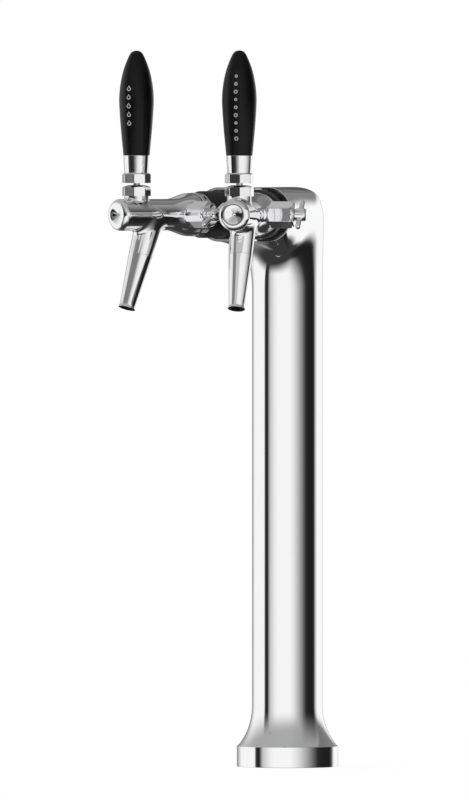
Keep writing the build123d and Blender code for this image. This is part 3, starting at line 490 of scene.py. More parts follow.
def make_casting():
    """Outside from the counter up to the mouth, then back down the inside."""
    leans = [pi / 2 * k / NECK_STEPS for k in range(1, NECK_STEPS)]
    flare = [RIM_H + (FLARE_TOP - RIM_H) * k / FLARE_STEPS for k in range(FLARE_STEPS + 1)]
    column = [FLARE_TOP + (NECK_START - FLARE_TOP) * k / COLUMN_STEPS
              for k in range(1, COLUMN_STEPS + 1)]
    soft, lip = 0.5, 0.6
    rings = [round_ring(RING_R, 0.0), round_ring(BASE_R - soft, 0.0)]
    for k in range(1, 5):
        a = pi / 2 * k / 4
        rings.append(round_ring(BASE_R - soft + soft * sin(a), soft - soft * cos(a)))
    for k in range(1, 8):
        rings.append(round_ring(BASE_R, soft + (RIM_H - RIM_ROUND - soft) * k / 8))
    for k in range(9):
        a = pi / 2 * k / 8
        rings.append(round_ring(BASE_R - RIM_ROUND + RIM_ROUND * cos(a),
                                RIM_H - RIM_ROUND + RIM_ROUND * sin(a)))
    rings += [flare_ring(z, 0) for z in flare + column]
    rings += [neck_ring(lean, 0) for lean in leans]
    for k in range(5):
        a = pi / 2 * k / 4
        rings.append(mouth_ring(lip - lip * sin(a), lip - lip * cos(a)))
    for k in range(5):
        a = pi / 2 * k / 4
        rings.append(mouth_ring(lip - lip * cos(a), LIP - lip + lip * sin(a)))
    rings += [mouth_ring(depth, LIP) for depth in (2.5, 4.5, PLATE_BACK)]
    rings += [mouth_ring(PLATE_BACK, LIP + LEDGE * k / 3) for k in (1, 2)]
    inner_leans = [lean for lean in leans[::3] if mouth_ok(lean)]
    rings += [neck_ring(lean, WALL) for lean in reversed(inner_leans)]
    rings += [flare_ring(z, WALL) for z in reversed(flare[::4] + column[::3])]
    bore = RING_R - RING_STEP
    rings += [round_ring(bore, RIM_H), round_ring(bore, RING_T), round_ring(RING_R, RING_T)]
    verts, rows = [], []
    for half in rings:
        mirrored = [(-x, y, z) for x, y, z in half[-2:0:-1]]
        rows.append(range(len(verts), len(verts) + len(half) + len(mirrored)))
        verts += half + mirrored
    faces = []
    for low, high in zip(rows, rows[1:] + rows[:1]):
        n = len(low)
        faces += [(low[k], low[(k + 1) % n], high[(k + 1) % n], high[k]) for k in range(n)]
    piece = outward_faces(new_piece("tower_casting", verts, faces))
    return dress(crisp(piece, CASTING_EDGE), CHROME, "tower", "chrome", "tower_shell")


def mouth_ok(lean):
    """The inside stops at the ledge behind the face plate."""
    return neck_reach(lean)[0] * cos(lean) > PLATE_BACK + 1


# ------------------------------------------------------------------ tap body
def body_radius(t):
    """The turned body: slim at the front, swelling to the collar."""
    s = np.clip((t - SWELL_FROM) / SWELL_LONG, 0.0, 1.0)
    return BODY_R + BODY_SWELL * s * s * (3 - 2 * s)


def rounded_union(a, b, fillet):
    u, v = np.maximum(fillet - a, 0), np.maximum(fillet - b, 0)
    return np.maximum(fillet, np.minimum(a, b)) - np.hypot(u, v)


def body_field(p):
    """Distance-like field of the tap body over points (t, q, h)."""
    t, q, h = p[:, 0], p[:, 1], p[:, 2]
    barrel = np.hypot(q, h) - body_radius(t)
    neck = np.maximum(np.hypot(t - LEVER_T, q) - NECK_R, -h)
    boss = np.maximum(np.hypot(t - FLOW_T, h) - BOSS_R, -q)
    lean = radians(SPOUT_LEAN)
    down = -(t - SPOUT_T) * sin(lean) - h * cos(lean)
    off = np.hypot((t - SPOUT_T) * cos(lean) - h * sin(lean), q)
    stub = np.maximum(off - (STUB_R - STUB_NARROWS * down / SPOUT_SEAM), -down)
    whole = rounded_union(barrel, stub, STUB_BLEND)
    whole = rounded_union(whole, neck, NECK_BLEND)
    return rounded_union(whole, boss, BOSS_BLEND)


def field_slope(p):
    """Slope of the field by small steps each way."""
    step = 0.01
    slope = np.empty_like(p)
    for axis in range(3):
        shift = np.zeros(3)
        shift[axis] = step
        slope[:, axis] = (body_field(p + shift) - body_field(p - shift)) / (2 * step)
    return slope


def tap_coords(tap, points):
    """Points in space as (t, q, h)."""
    d = points - np.array(tap.nose)
    return np.stack([-(d @ np.array(tap.ahead)), d @ np.array(tap.across), d[:, 2]], axis=1)


def tap_points(tap, coords):
    """And back to space."""
    return (np.array(tap.nose) - np.outer(coords[:, 0], np.array(tap.ahead))
            + np.outer(coords[:, 1], np.array(tap.across)) + np.outer(coords[:, 2], (0, 0, 1)))


SKIN_VOXEL, SETTLE_ROUNDS, SKIN_ENDS = 0.8, 5, (1.2, 95.5)
FIELD_NEAR, FIELD_ON, LEAST_SLOPE, SAME_WAY = 3, 0.05, 0.2, 0.8


def settled(tap, mesh):
    """Move a rough skin on to the field's zero, apart from its two ends."""
    coords = np.empty(len(mesh.vertices) * 3)
    mesh.vertices.foreach_get("co", coords)
    local = tap_coords(tap, coords.reshape(-1, 3) / MM)
    for _ in range(SETTLE_ROUNDS):
        value, slope = body_field(local), field_slope(local)
        between_ends = (local[:, 0] > SKIN_ENDS[0]) & (local[:, 0] < SKIN_ENDS[1])
        size = np.maximum((slope**2).sum(axis=1), LEAST_SLOPE)
        move = np.clip(value / size, -1.0, 1.0)[:, None] * slope
        near = np.abs(value) < FIELD_NEAR
        local = local - np.where((between_ends & near)[:, None], move, 0)
    mesh.vertices.foreach_set("co", (tap_points(tap, local) * MM).ravel())
    mesh.update()


def make_tap_body(tap):
    along, up, out, down = tap.along(), tap.upright(), tap.outward(), tap.down_spout()
    swell = [(float(body_radius(np.array(t))), float(t)) for t in range(60, 96, 2)]
    barrel = [(0, 0), (BODY_R, 0)] + swell + [(BODY_R + BODY_SWELL, 97), (0, 97)]
    stub = [(0, 0), (STUB_R, 0), (11.7, 48), (0, 48)]
    rough = joined("rough_body", [
        turned("barrel", along, barrel, 0, steps=64),
        rod("neck", up, NECK_R, 0, 24),
        rod("boss", out, BOSS_R, 0, 24),
        turned("spout", down, stub, 0, steps=48),
    ])
    skin = rough.modifiers.new("skin", "REMESH")
    skin.mode, skin.voxel_size = "VOXEL", SKIN_VOXEL * MM
    finished(rough)
    settled(tap, rough.data)
    piston_bore = [(0, 0), (SOCKET_R, 0), (SOCKET_R, 10), (6.4, 10), (6.4, 47), (10.5, 47),
                   (10.5, 60), (16, 88), (16, 106), (0, 106)]
    lever_way = [(0, 0), (6.6, 0), (6.6, 8.5), (SOCKET_R, 8.5), (SOCKET_R, 30), (0, 30)]
    spout_bore = [(0, 0), (6.4, 0), (6.4, 35), (SOCKET_R, 35), (SOCKET_R, 54), (0, 54)]
    cutters = [
        rod("front", along, 30, -6, 4, steps=64),
        rod("rear", along, 36, BODY_END, 104, steps=64),
        rod("top", up, 17, BONNET_FOOT, 32, steps=64),
        rod("foot", down, 22, SPOUT_SEAM, 56, steps=64),
        rod("seat", out, 13.9, FLOW_FACE, 34, steps=96),
        turned("piston_bore", along, piston_bore, 0, steps=48),
        turned("lever_way", up, lever_way, 0, steps=48),
        rod("flow_port", out, FLOW_BORE_R, 0, 32),
        turned("spout_bore", down, spout_bore, 0, steps=48),
    ]
    combined(rough, cutters, "DIFFERENCE")
    crests = [(16, 91.5), (THREAD_R, 91.5), (THREAD_R, THREAD_END), (16, THREAD_END)]
    thread = turned("thread", along, crests, 0.2, closed=True)
    body = joined(f"{tap.name}_body", [rough, thread])
    true_normals(tap, body.data)
    return dress(body, TAP_CHROME, "tower", "chrome", f"{tap.name}_tap_body")


def true_normals(tap, mesh):
    """Shade the blended skin by the field's own slope, and the cut faces flat."""
    coords = np.empty(len(mesh.vertices) * 3)
    mesh.vertices.foreach_get("co", coords)
    local = tap_coords(tap, coords.reshape(-1, 3) / MM)
    value, slope = body_field(local), field_slope(local)
    slope /= np.linalg.norm(slope, axis=1)[:, None] + 1e-9
    turned_back = tap_points(tap, slope) - np.array(tap.nose)
    skin = np.abs(value) < FIELD_ON
    mesh.shade_smooth()
    face_normals = np.empty(len(mesh.polygons) * 3)
    mesh.polygons.foreach_get("normal", face_normals)
    face_normals = face_normals.reshape(-1, 3)
    corner_verts = np.empty(len(mesh.loops), dtype=int)
    mesh.loops.foreach_get("vertex_index", corner_verts)
    totals = np.empty(len(mesh.polygons), dtype=int)
    mesh.polygons.foreach_get("loop_total", totals)
    corner_faces = np.repeat(np.arange(len(mesh.polygons)), totals)
    flat, true = face_normals[corner_faces], turned_back[corner_verts]
    use = skin[corner_verts] & ((flat * true).sum(axis=1) > SAME_WAY)
    mesh.normals_split_custom_set(np.where(use[:, None], true, flat).tolist())


# ------------------------------------------------------------------ turned pieces of a tap
def arc(cx, cz, radius, start, end, steps):
    return [(cx + radius * cos(radians(start + (end - start) * k / steps)),
             cz + radius * sin(radians(start + (end - start) * k / steps)))
            for k in range(steps + 1)]


def make_end_cap(tap):
    """Nose cap with a round edge, a hollow cone and a pit in its middle."""
    pit_r, cone_wide, cone_deep, edge, bulge = 1.7, 8.0, 2.9, -5.5, 1.25
    dish = [(0.0, -0.6), (1.5, -1.0), (pit_r, -2.6)]
    dish += [(pit_r + cone_wide * k / 10, edge + cone_deep * (1 - k / 10) ** bulge)
             for k in range(1, 11)]
    nose = arc(10.4, 0.0, -edge, -90, 0, 14)
    outline = dish + nose + [(15.9, 3.9), (9.0, 4.0), (9.0, 10.0), (0, 10.0)]
    cap = turned(f"{tap.name}_cap", tap.along(), outline, 0.3, steps=160)
    return dress(crisp(cap), TAP_CHROME, "tower", "chrome", f"{tap.name}_end_cap")


def make_nozzle(tap):
    """Tapered spout with a flared lip; painted shade: near-black on its bore and on its mouth's end
    face.
    """
    lip, steps = SPOUT_END - SPOUT_LIP, 12
    wall = [(SPOUT_R - SPOUT_NARROWS * ((lip - SPOUT_SEAM) * k / steps) / (lip - SPOUT_SEAM),
             SPOUT_SEAM + (lip - SPOUT_SEAM) * k / steps) for k in range(steps)]
    flare = [(7.9, lip), (8.05, lip + 1.0), (8.45, lip + 2.1), (8.8, SPOUT_END)]
    outline = [(SPOUT_BORE_R, 35.0), (9.0, 35.0), (9.0, SPOUT_SEAM)] + wall + flare
    outline += [(SPOUT_BORE_R, SPOUT_END), (SPOUT_BORE_R, 66.0)]
    nozzle = turned(f"{tap.name}_spout", tap.down_spout(), outline, 0.25, closed=True)
    nozzle = dress(crisp(nozzle), TAP_CHROME, "tower", "chrome", f"{tap.name}_nozzle")
    nozzle.data.materials.append(SPOUT_PAINTED_SHADE)
    # Painted shade: faces in the bore, and faces on the mouth's end face near the bore, take the
    # near-black material.
    origin, way = tap.at(SPOUT_T) * MM, tap.spout_way()
    bore, mouth, end = 6.3 * MM, 8.3 * MM, (SPOUT_END - 0.1) * MM
    for face in nozzle.data.polygons:
        off = face.center - origin
        from_axis, along = (off - way * off.dot(way)).length, off.dot(way)
        if from_axis < bore or (along > end and from_axis < mouth):
            face.material_index = 1
    nozzle.visible_glossy = False
    return nozzle


def make_bonnet(tap):
    """Octagon under a domed top, with a funnel for the lever and a skirt on the tap's neck."""
    up = tap.upright()
    top, dome_r, edge, steps = 30.4, 36.3, 15.5, 16
    dome = [(edge * k / steps, top - (dome_r - sqrt(dome_r**2 - (edge * k / steps) ** 2)))
            for k in range(steps + 1)]
    blank = prism(f"{tap.name}_bonnet", up, NUT_SIDES, NUT_CORNER, BONNET_FOOT, BONNET_TOP,
                  tap.nut_turn)
    cap = turned("dome", up, dome + [(edge, 19.3), (14.4, BONNET_FOOT), (0, BONNET_FOOT)], 0.0)
    combined(blank, [cap], "INTERSECT")
    funnel = [(0, 14), (5.0, 14), (5.0, 22.6), (7.2, 30.2), (7.6, 34), (0, 34)]
    combined(blank, [turned("mouth", up, funnel, 0, steps=64)], "DIFFERENCE")
    skirt = turned("skirt", up, [(6.6, 11.5), (9.0, 11.5), (9.0, 18.6), (6.6, 18.6)], 0.2,
                   closed=True, steps=64)
    nut = joined(f"{tap.name}_bonnet", [crisp(blank, NUT_EDGE), skirt])
    return dress(crisp(nut, NUT_EDGE), TAP_CHROME, "tower", "chrome", f"{tap.name}_bonnet_nut")


def make_lever(tap):
    """Lock nut, ferrule and grip, and the grip's side for the marks on it."""
    up, body = tap.upright(), f"{tap.name}_lever"
    blank = prism(f"{tap.name}_locknut", up, NUT_SIDES, NUT_CORNER, LOCKNUT_FOOT, LOCKNUT_TOP,
                  tap.nut_turn)
    shape = [(0, LOCKNUT_FOOT), (13.9, LOCKNUT_FOOT), (14.75, 32.4), (14.75, 39.5), (14.2, 40.2),
             (12.0, LOCKNUT_TOP), (0, LOCKNUT_TOP)]
    combined(blank, [turned("shape", up, shape, 0.0)], "INTERSECT")
    combined(blank, [rod("bore", up, STEM_R, 30, 43)], "DIFFERENCE")
    dress(crisp(blank, NUT_EDGE), TAP_CHROME, body, "chrome", f"{tap.name}_lock_nut")
    outline = [(STEM_R, LOCKNUT_TOP), (11.9, LOCKNUT_TOP), (12.5, 50.0), (13.0, GRIP_FOOT),
               (STEM_R, GRIP_FOOT)]
    ferrule = turned(f"{tap.name}_ferrule_ring", up, outline, 0.4, closed=True)
    dress(crisp(ferrule), TAP_CHROME, body, "chrome", f"{tap.name}_ferrule")
    knots = [(13.1, 0), (14.3, 12.7), (15.45, 24.7), (16.35, 36.7), (17.0, 47.0), (17.28, 54.5),
             (17.05, 61.0), (16.55, 66.7), (15.7, 72.7), (14.55, 78.7), (13.05, 84.7),
             (11.7, 88.7), (10.2, 92.7), (8.5, 96.7), (6.9, 100.0), (5.2, 102.3), (3.3, 103.6),
             (1.6, 104.1), (0.0, GRIP_TALL)]
    side = smooth_run([(r, GRIP_FOOT + z) for r, z in knots])
    socket = GRIP_FOOT + GRIP_SOCKET
    outline = [(0, socket), (4, socket), (4, GRIP_FOOT), (12.6, GRIP_FOOT)] + side
    grip = turned(f"{tap.name}_handle", up, outline, 0.3, steps=160)
    dress(crisp(grip), GRIP, body, "grip_black", f"{tap.name}_grip")
    return side


def smooth_run(points, steps=5):
    """Catmull-Rom run through points."""
    out = []
    padded = [points[0]] + points + [points[-1]]
    for a, b, c, d in zip(padded, padded[1:], padded[2:], padded[3:]):
        for k in range(steps):
            s = k / steps
            out.append(tuple(
                0.5 * (2 * b[i] + (c[i] - a[i]) * s + (2 * a[i] - 5 * b[i] + 4 * c[i] - d[i]) * s**2
                       + (3 * b[i] - a[i] - 3 * c[i] + d[i]) * s**3) for i in (0, 1)))
    out.append(points[-1])
    return [(max(r, 0.0), z) for r, z in out]


def make_spacer(tap):
    """Black sleeve, cut obliquely where it meets the face plate."""
    place, front, steps = tap.along(), COLLAR_TO, 160
    back_plane = FACE_Y + SLEEVE_SUNK
    edge = front + SLEEVE_EDGE
    rings = ((SLEEVE_BORE_R, front), (SLEEVE_R - SLEEVE_EDGE, front), (SLEEVE_R, edge),
             (SLEEVE_R, None), (SLEEVE_BORE_R, None))
    verts, faces, rows = [], [], []
    for radius, height in rings:
        rows.append(range(len(verts), len(verts) + steps))
        for k in range(steps):
            a = 2 * pi * k / steps
            x, y, z = radius * cos(a), radius * sin(a), height
            if z is None:
                z = (back_plane - (place @ Vector((x, y, 0))).y) / -tap.ahead.y
            verts.append(place @ Vector((x, y, z)))
    for low, high in zip(rows, rows[1:] + rows[:1]):
        faces += [(low[k], low[(k + 1) % steps], high[(k + 1) % steps], high[k])
                  for k in range(steps)]
    piece = outward_faces(new_piece(f"{tap.name}_sleeve", verts, faces))
    return dress(crisp(piece), BLACK, "tower", "black_plastic", f"{tap.name}_spacer")


def slot_ring_tree():
    """Geometry nodes: copies of a slot cutter round a collar."""
    tree = bpy.data.node_groups.new("slots_round_a_collar", "GeometryNodeTree")
    face = tree.interface
    face.new_socket("Geometry", in_out="INPUT", socket_type="NodeSocketGeometry")
    names = {"Count": "NodeSocketInt", "Radius": "NodeSocketFloat",
             "Slot length": "NodeSocketFloat", "Slot width": "NodeSocketFloat",
             "Slot depth": "NodeSocketFloat", "Material": "NodeSocketMaterial"}
    inputs = {name: face.new_socket(name, in_out="INPUT", socket_type=kind).identifier
              for name, kind in names.items()}
    face.new_socket("Geometry", in_out="OUTPUT", socket_type="NodeSocketGeometry")
    nodes, links = tree.nodes, tree.links
    entry, leave = nodes.new("NodeGroupInput"), nodes.new("NodeGroupOutput")
    circle = nodes.new("GeometryNodeMeshCircle")
    links.new(entry.outputs["Count"], circle.inputs["Vertices"])
    links.new(entry.outputs["Radius"], circle.inputs["Radius"])
    spots = nodes.new("GeometryNodeMeshToPoints")
    links.new(circle.outputs["Mesh"], spots.inputs["Mesh"])
    size = nodes.new("ShaderNodeCombineXYZ")
    for name, way in (("Slot depth", "X"), ("Slot length", "Y"), ("Slot width", "Z")):
        links.new(entry.outputs[name], size.inputs[way])
    block = nodes.new("GeometryNodeMeshCube")
    links.new(size.outputs["Vector"], block.inputs["Size"])
    for corners in ("Vertices X", "Vertices Y", "Vertices Z"):
        block.inputs[corners].default_value = 2
    place = nodes.new("GeometryNodeInputPosition")
    face_out = nodes.new("FunctionNodeAlignRotationToVector")
    face_out.axis, face_out.pivot_axis = "X", "Z"
    links.new(place.outputs["Position"], face_out.inputs["Vector"])
    copies = nodes.new("GeometryNodeInstanceOnPoints")
    links.new(spots.outputs["Points"], copies.inputs["Points"])
    links.new(block.outputs["Mesh"], copies.inputs["Instance"])
    links.new(face_out.outputs["Rotation"], copies.inputs["Rotation"])
    real = nodes.new("GeometryNodeRealizeInstances")
    links.new(copies.outputs["Instances"], real.inputs["Geometry"])
    paint = nodes.new("GeometryNodeSetMaterial")
    links.new(real.outputs["Geometry"], paint.inputs["Geometry"])
    links.new(entry.outputs["Material"], paint.inputs["Material"])
    links.new(paint.outputs["Geometry"], leave.inputs["Geometry"])
    return tree, inputs


SLOT_TREE, SLOT_INPUTS = slot_ring_tree()


def slot_cutters(place):
    """Cutters for the slots round a collar, carrying a near-black material that paints shade into
    the slots.
    """
    blank = new_piece("slots", [(0, 0, 0)], [])
    ring = blank.modifiers.new("ring", "NODES")
    ring.node_group = SLOT_TREE
    settings = {"Count": SLOTS, "Radius": COLLAR_R * MM, "Slot length": SLOT_LONG * MM,
                "Slot width": SLOT_WIDE * MM, "Slot depth": SLOT_DEEP * MM,
                "Material": SLOT_PAINTED_SHADE}
    for name, value in settings.items():
        ring[SLOT_INPUTS[name]] = value
    finished(blank)
    shift = place.copy()
    shift.translation *= MM
    blank.data.transform(shift)
    return blank


def make_collar(tap):
    """Round coupling nut with slots for a hook spanner."""
    along, edge = tap.along(), 0.5
    outline = [(18.2, COLLAR_FROM), (COLLAR_R - edge, COLLAR_FROM), (COLLAR_R, 94.2),
               (COLLAR_R, 103.1), (COLLAR_R - edge, COLLAR_TO), (12.1, COLLAR_TO), (12.1, 101.9),
               (18.2, 101.9)]
    collar = turned(f"{tap.name}_collar", along, outline, 0.3, closed=True, steps=192)
    turn = Matrix.Rotation(radians(SLOT_TURN), 4, "Z")
    place = along @ Matrix.Translation((0, 0, SLOT_AT)) @ turn
    dress(collar, TAP_CHROME, "tower", "chrome", f"{tap.name}_collar_nut")
    # The cut faces of the slots take the near-black material of the cutters: painted shade.
    combined(collar, [slot_cutters(place)], "DIFFERENCE")
    return crisp(collar, SLOT_EDGE)


def make_gland(tap):
    """Hexagon of the flow control, with a disc before it and a spigot behind."""
    out = tap.outward()
    blank = prism(f"{tap.name}_gland", out, GLAND_SIDES, GLAND_CORNER, FLOW_FACE, GLAND_END, 0,
                  0.45)
    shape = [(0, FLOW_FACE), (13.3, FLOW_FACE), (13.7, 18.9), (13.7, 38.7), (12.0, GLAND_END),
             (0, GLAND_END)]
    combined(blank, [turned("shape", out, shape, 0.0)], "INTERSECT")
    combined(blank, [rod("bore", out, GLAND_BORE_R, 10, 50)], "DIFFERENCE")
    disc = [(GLAND_BORE_R, 40.3), (12.0, 40.3), (12.0, 41.6), (11.3, 42.6), (10.2, 43.0),
            (GLAND_BORE_R, 43.0)]
    spigot = [(8.1, 13.0), (10.0, 13.0), (10.0, 18.6), (8.1, 18.6)]
    gland = joined(f"{tap.name}_gland", [
        blank,
        turned("disc", out, disc, 0.25, closed=True),
        turned("spigot", out, spigot, 0.2, closed=True, steps=64),
    ])
    dress(crisp(gland, NUT_EDGE), TAP_CHROME, "tower", "chrome", f"{tap.name}_flow_bonnet")


def make_flow_knob(tap):
    """Spindle with its knob and crank pin, and the cross pin through the knob."""
    out, body = tap.outward(), f"{tap.name}_flow_knob"
    outline = [(0, 14.0), (8.0, 14.0), (8.0, 18.6), (4.5, 18.6), (4.5, 43.3), (5.9, 43.3),
               (KNOB_R, 43.9), (KNOB_R, 52.6)]
    outline += arc(3.4, 51.6, 3.0, 15, 90, 8) + [(0, KNOB_END)]
    knob = turned(f"{tap.name}_knob", out, outline, 0.3)
    lean = radians(tap.tee_lean)
    pin_way = Vector((0, 0, cos(lean))) - tap.ahead * sin(lean)
    middle = tap.place(tap.at(FLOW_T, PIN_AT), pin_way, tap.across)
    combined(knob, [rod("hole", middle, PIN_R, -14, 14)], "DIFFERENCE")
    crank_place = tap.place(tap.at(FLOW_T, CRANK_AT, CRANK_OFF), tap.across, tap.ahead)
    crank = rod("crank", crank_place, CRANK_R, 0, CRANK_LONG, steps=32, soft=0.2)
    knob = joined(f"{tap.name}_knob", [knob, crank])
    dress(crisp(knob, SLOT_EDGE), TAP_CHROME, body, "chrome", f"{tap.name}_flow_spindle")
    round_end = 2.2
    ends = arc(PIN_R - round_end, PIN_HALF - round_end, round_end, 0, 90, 8)
    outline = [(0, -PIN_HALF)] + [(r, -z) for r, z in ends[::-1]] + ends + [(0, PIN_HALF)]
    pin = turned(f"{tap.name}_pin", middle, outline, 0.0, steps=64)
    dress(crisp(pin), TAP_CHROME, body, "chrome", f"{tap.name}_flow_handle")


# ------------------------------------------------------------------ marks on the grips
def grip_radius_at(side, z):
    for (r0, z0), (r1, z1) in zip(side, side[1:]):
        if z0 <= z <= z1:
            return r0 + (r1 - r0) * (z - z0) / max(z1 - z0, 1e-6)
    return side[-1][0]


def make_marks(tap, side, facing, spots, outline_of):
    """Small printed marks down the front of a grip, laid on its surface."""
    up = tap.upright()
    verts, faces = [], []
    for z, size in spots:
        loops = outline_of(size)
        start, count = len(verts), MARK_STEPS
        for u, v in sum(loops, []):
            radius = grip_radius_at(side, z + v) + MARK_LIFT
            a = radians(facing) + u / radius
            verts.append(up @ Vector((radius * cos(a), radius * sin(a), z + v)))
        for ring in range(len(loops) - 1):
            low, high = start + ring * count, start + (ring + 1) * count
            faces += [(low + k, low + (k + 1) % count, high + (k + 1) % count, high + k)
                      for k in range(count)]
    piece = new_piece(f"{tap.name}_grip_marks", verts, faces)
    return dress(piece, MARK, f"{tap.name}_lever", "grip_black")


def ring_mark(radius):
    """A small open ring: its outer and inner loop."""
    return [[(r * cos(2 * pi * k / MARK_STEPS), r * sin(2 * pi * k / MARK_STEPS))
             for k in range(MARK_STEPS)] for r in (radius, radius - RING_LINE)]


def drop_mark(size):
    """An open drop, point up: its outer and inner loop."""
    narrowing, rise = 0.55, 0.35
    loops = []
    for s in (size, size - DROP_LINE):
        loop = []
        for k in range(MARK_STEPS):
            a = 2 * pi * k / MARK_STEPS
            upper = max(0.0, sin(a))
            loop.append((s * cos(a) * (1 - narrowing * upper),
                         s * sin(a) * (1.0 + rise * upper**3)))
        loops.append(loop)
    return loops


def mark_grip(tap, side):
    """Drops on the still tap's grip and rings on the sparkling tap's."""
    turn = radians(CAMERA_TURN)
    front = Vector((sin(turn), -cos(turn), 0))
    facing = degrees(atan2(tap.ahead.cross(front).z, tap.ahead.dot(front)))
    still = tap.name == "left"
    first, step, count, aside = DROP_ROW if still else RING_ROW
    spots = [(GRIP_FOOT + GRIP_TALL - first - step * k,
              DROP_SIZE if still else RING_SIZES[k % len(RING_SIZES)]) for k in range(count)]
    make_marks(tap, side, facing + aside, spots, drop_mark if still else ring_mark)


# ------------------------------------------------------------------ make the pieces
make_casting()
for tap in TAPS:
    make_tap_body(tap)
    make_end_cap(tap)
    make_nozzle(tap)
    make_bonnet(tap)
    grip_side = make_lever(tap)
    make_spacer(tap)
    make_collar(tap)
    make_gland(tap)
    make_flow_knob(tap)
    mark_grip(tap, grip_side)

for name, node in frame["nodes"].items():
    slot_name = next(s["material_slot"] for s in frame["record"]["subparts"] if s["node"] == name)
    node.data.materials.clear()
    node.data.materials.append(CAD_LOOKS[slot_name])

# ------------------------------------------------------------------ floor, light and camera
# The floor's half width in metres, its grey, and the white that only the camera sees on it.
FLOOR_HALF, FLOOR_GREY, FLOOR_ROUGH = 5.0, 0.9, 0.8
FLOOR_GLOW, FLOOR_GLOW_SHARE = 1.215, 0.75


def make_floor():
    """Pale counter top that keeps the tower's shadow."""
    mesh = bpy.data.meshes.new("counter_top")
    half = FLOOR_HALF
    mesh.from_pydata([(-half, -half, 0), (half, -half, 0), (half, half, 0), (-half, half, 0)],
                     [], [(0, 1, 2, 3)])
    floor = bpy.data.objects.new("counter_top", mesh)
    bpy.context.scene.collection.objects.link(floor)
    floor.visible_glossy = False
    mat = bpy.data.materials.new("white_counter")
    mat.use_nodes = True
    nodes, links = mat.node_tree.nodes, mat.node_tree.links
    shader = nodes["Principled BSDF"]
    shader.inputs["Base Color"].default_value = (FLOOR_GREY, FLOOR_GREY, FLOOR_GREY, 1)
    shader.inputs["Roughness"].default_value = FLOOR_ROUGH
    glow = nodes.new("ShaderNodeEmission")
    glow.inputs["Strength"].default_value = FLOOR_GLOW
    rays = nodes.new("ShaderNodeLightPath")
    share = nodes.new("ShaderNodeMath")
    share.operation = "MULTIPLY"
    share.inputs[1].default_value = FLOOR_GLOW_SHARE
    mix = nodes.new("ShaderNodeMixShader")
    links.new(rays.outputs["Is Camera Ray"], share.inputs[0])
    links.new(share.outputs["Value"], mix.inputs["Fac"])
    links.new(shader.outputs["BSDF"], mix.inputs[1])
    links.new(glow.outputs["Emission"], mix.inputs[2])
    links.new(mix.outputs["Shader"], nodes["Material Output"].inputs["Surface"])
    mesh.materials.append(mat)


# Brightness of the studio's walls and of its ceiling, by the angle in degrees round the tower
# from its front three-quarter side: dark panels between white ones.
STUDIO = (
    (-180, 0.09), (-171, 0.22), (-157, 0.36), (-147, 0.54), (-137, 0.80), (-126, 0.97), (-84, 0.98),
    (-79.5, 0.55), (-76, 0.045), (-70, 0.02), (-65, 0.14), (-61, 0.42), (-57, 0.60),
    (-48, 0.76), (-38, 0.92), (-28, 0.98), (0, 0.98), (16, 0.86), (28, 0.69), (40, 0.47),
    (52, 0.28), (65, 0.10), (76, 0.022), (108, 0.014), (115, 0.035), (121, 0.23), (130, 0.80),
    (136, 1.0), (163, 0.98), (170, 0.40), (176, 0.10), (180, 0.09),
)
CEILING = (
    (-180, 0.50), (-90, 0.41), (0, 0.43), (50, 0.38), (90, 0.42), (108, 0.36), (122, 0.19),
    (160, 0.24), (168, 0.15), (176, 0.14), (180, 0.14),
)
FLOOR_DEPTH = 0.041
# Where the ceiling begins and ends, as heights of a direction, in front, beside and behind;
# and the same for the dark below.
CEILING_FROM, CEILING_FRONT, CEILING_SIDE, CEILING_BACK = 0.08, 0.70, 1.10, 0.30
BELOW_FROM, BELOW_FULL, BELOW_BACK_FROM, BELOW_BACK_FULL = 0.53, 0.88, 0.34, 0.53
# Angles between which each of the two other parts of the studio fades in and out.
BESIDE, BEHIND = (30, 60, 95, 118), (105, 125, 166, 180)


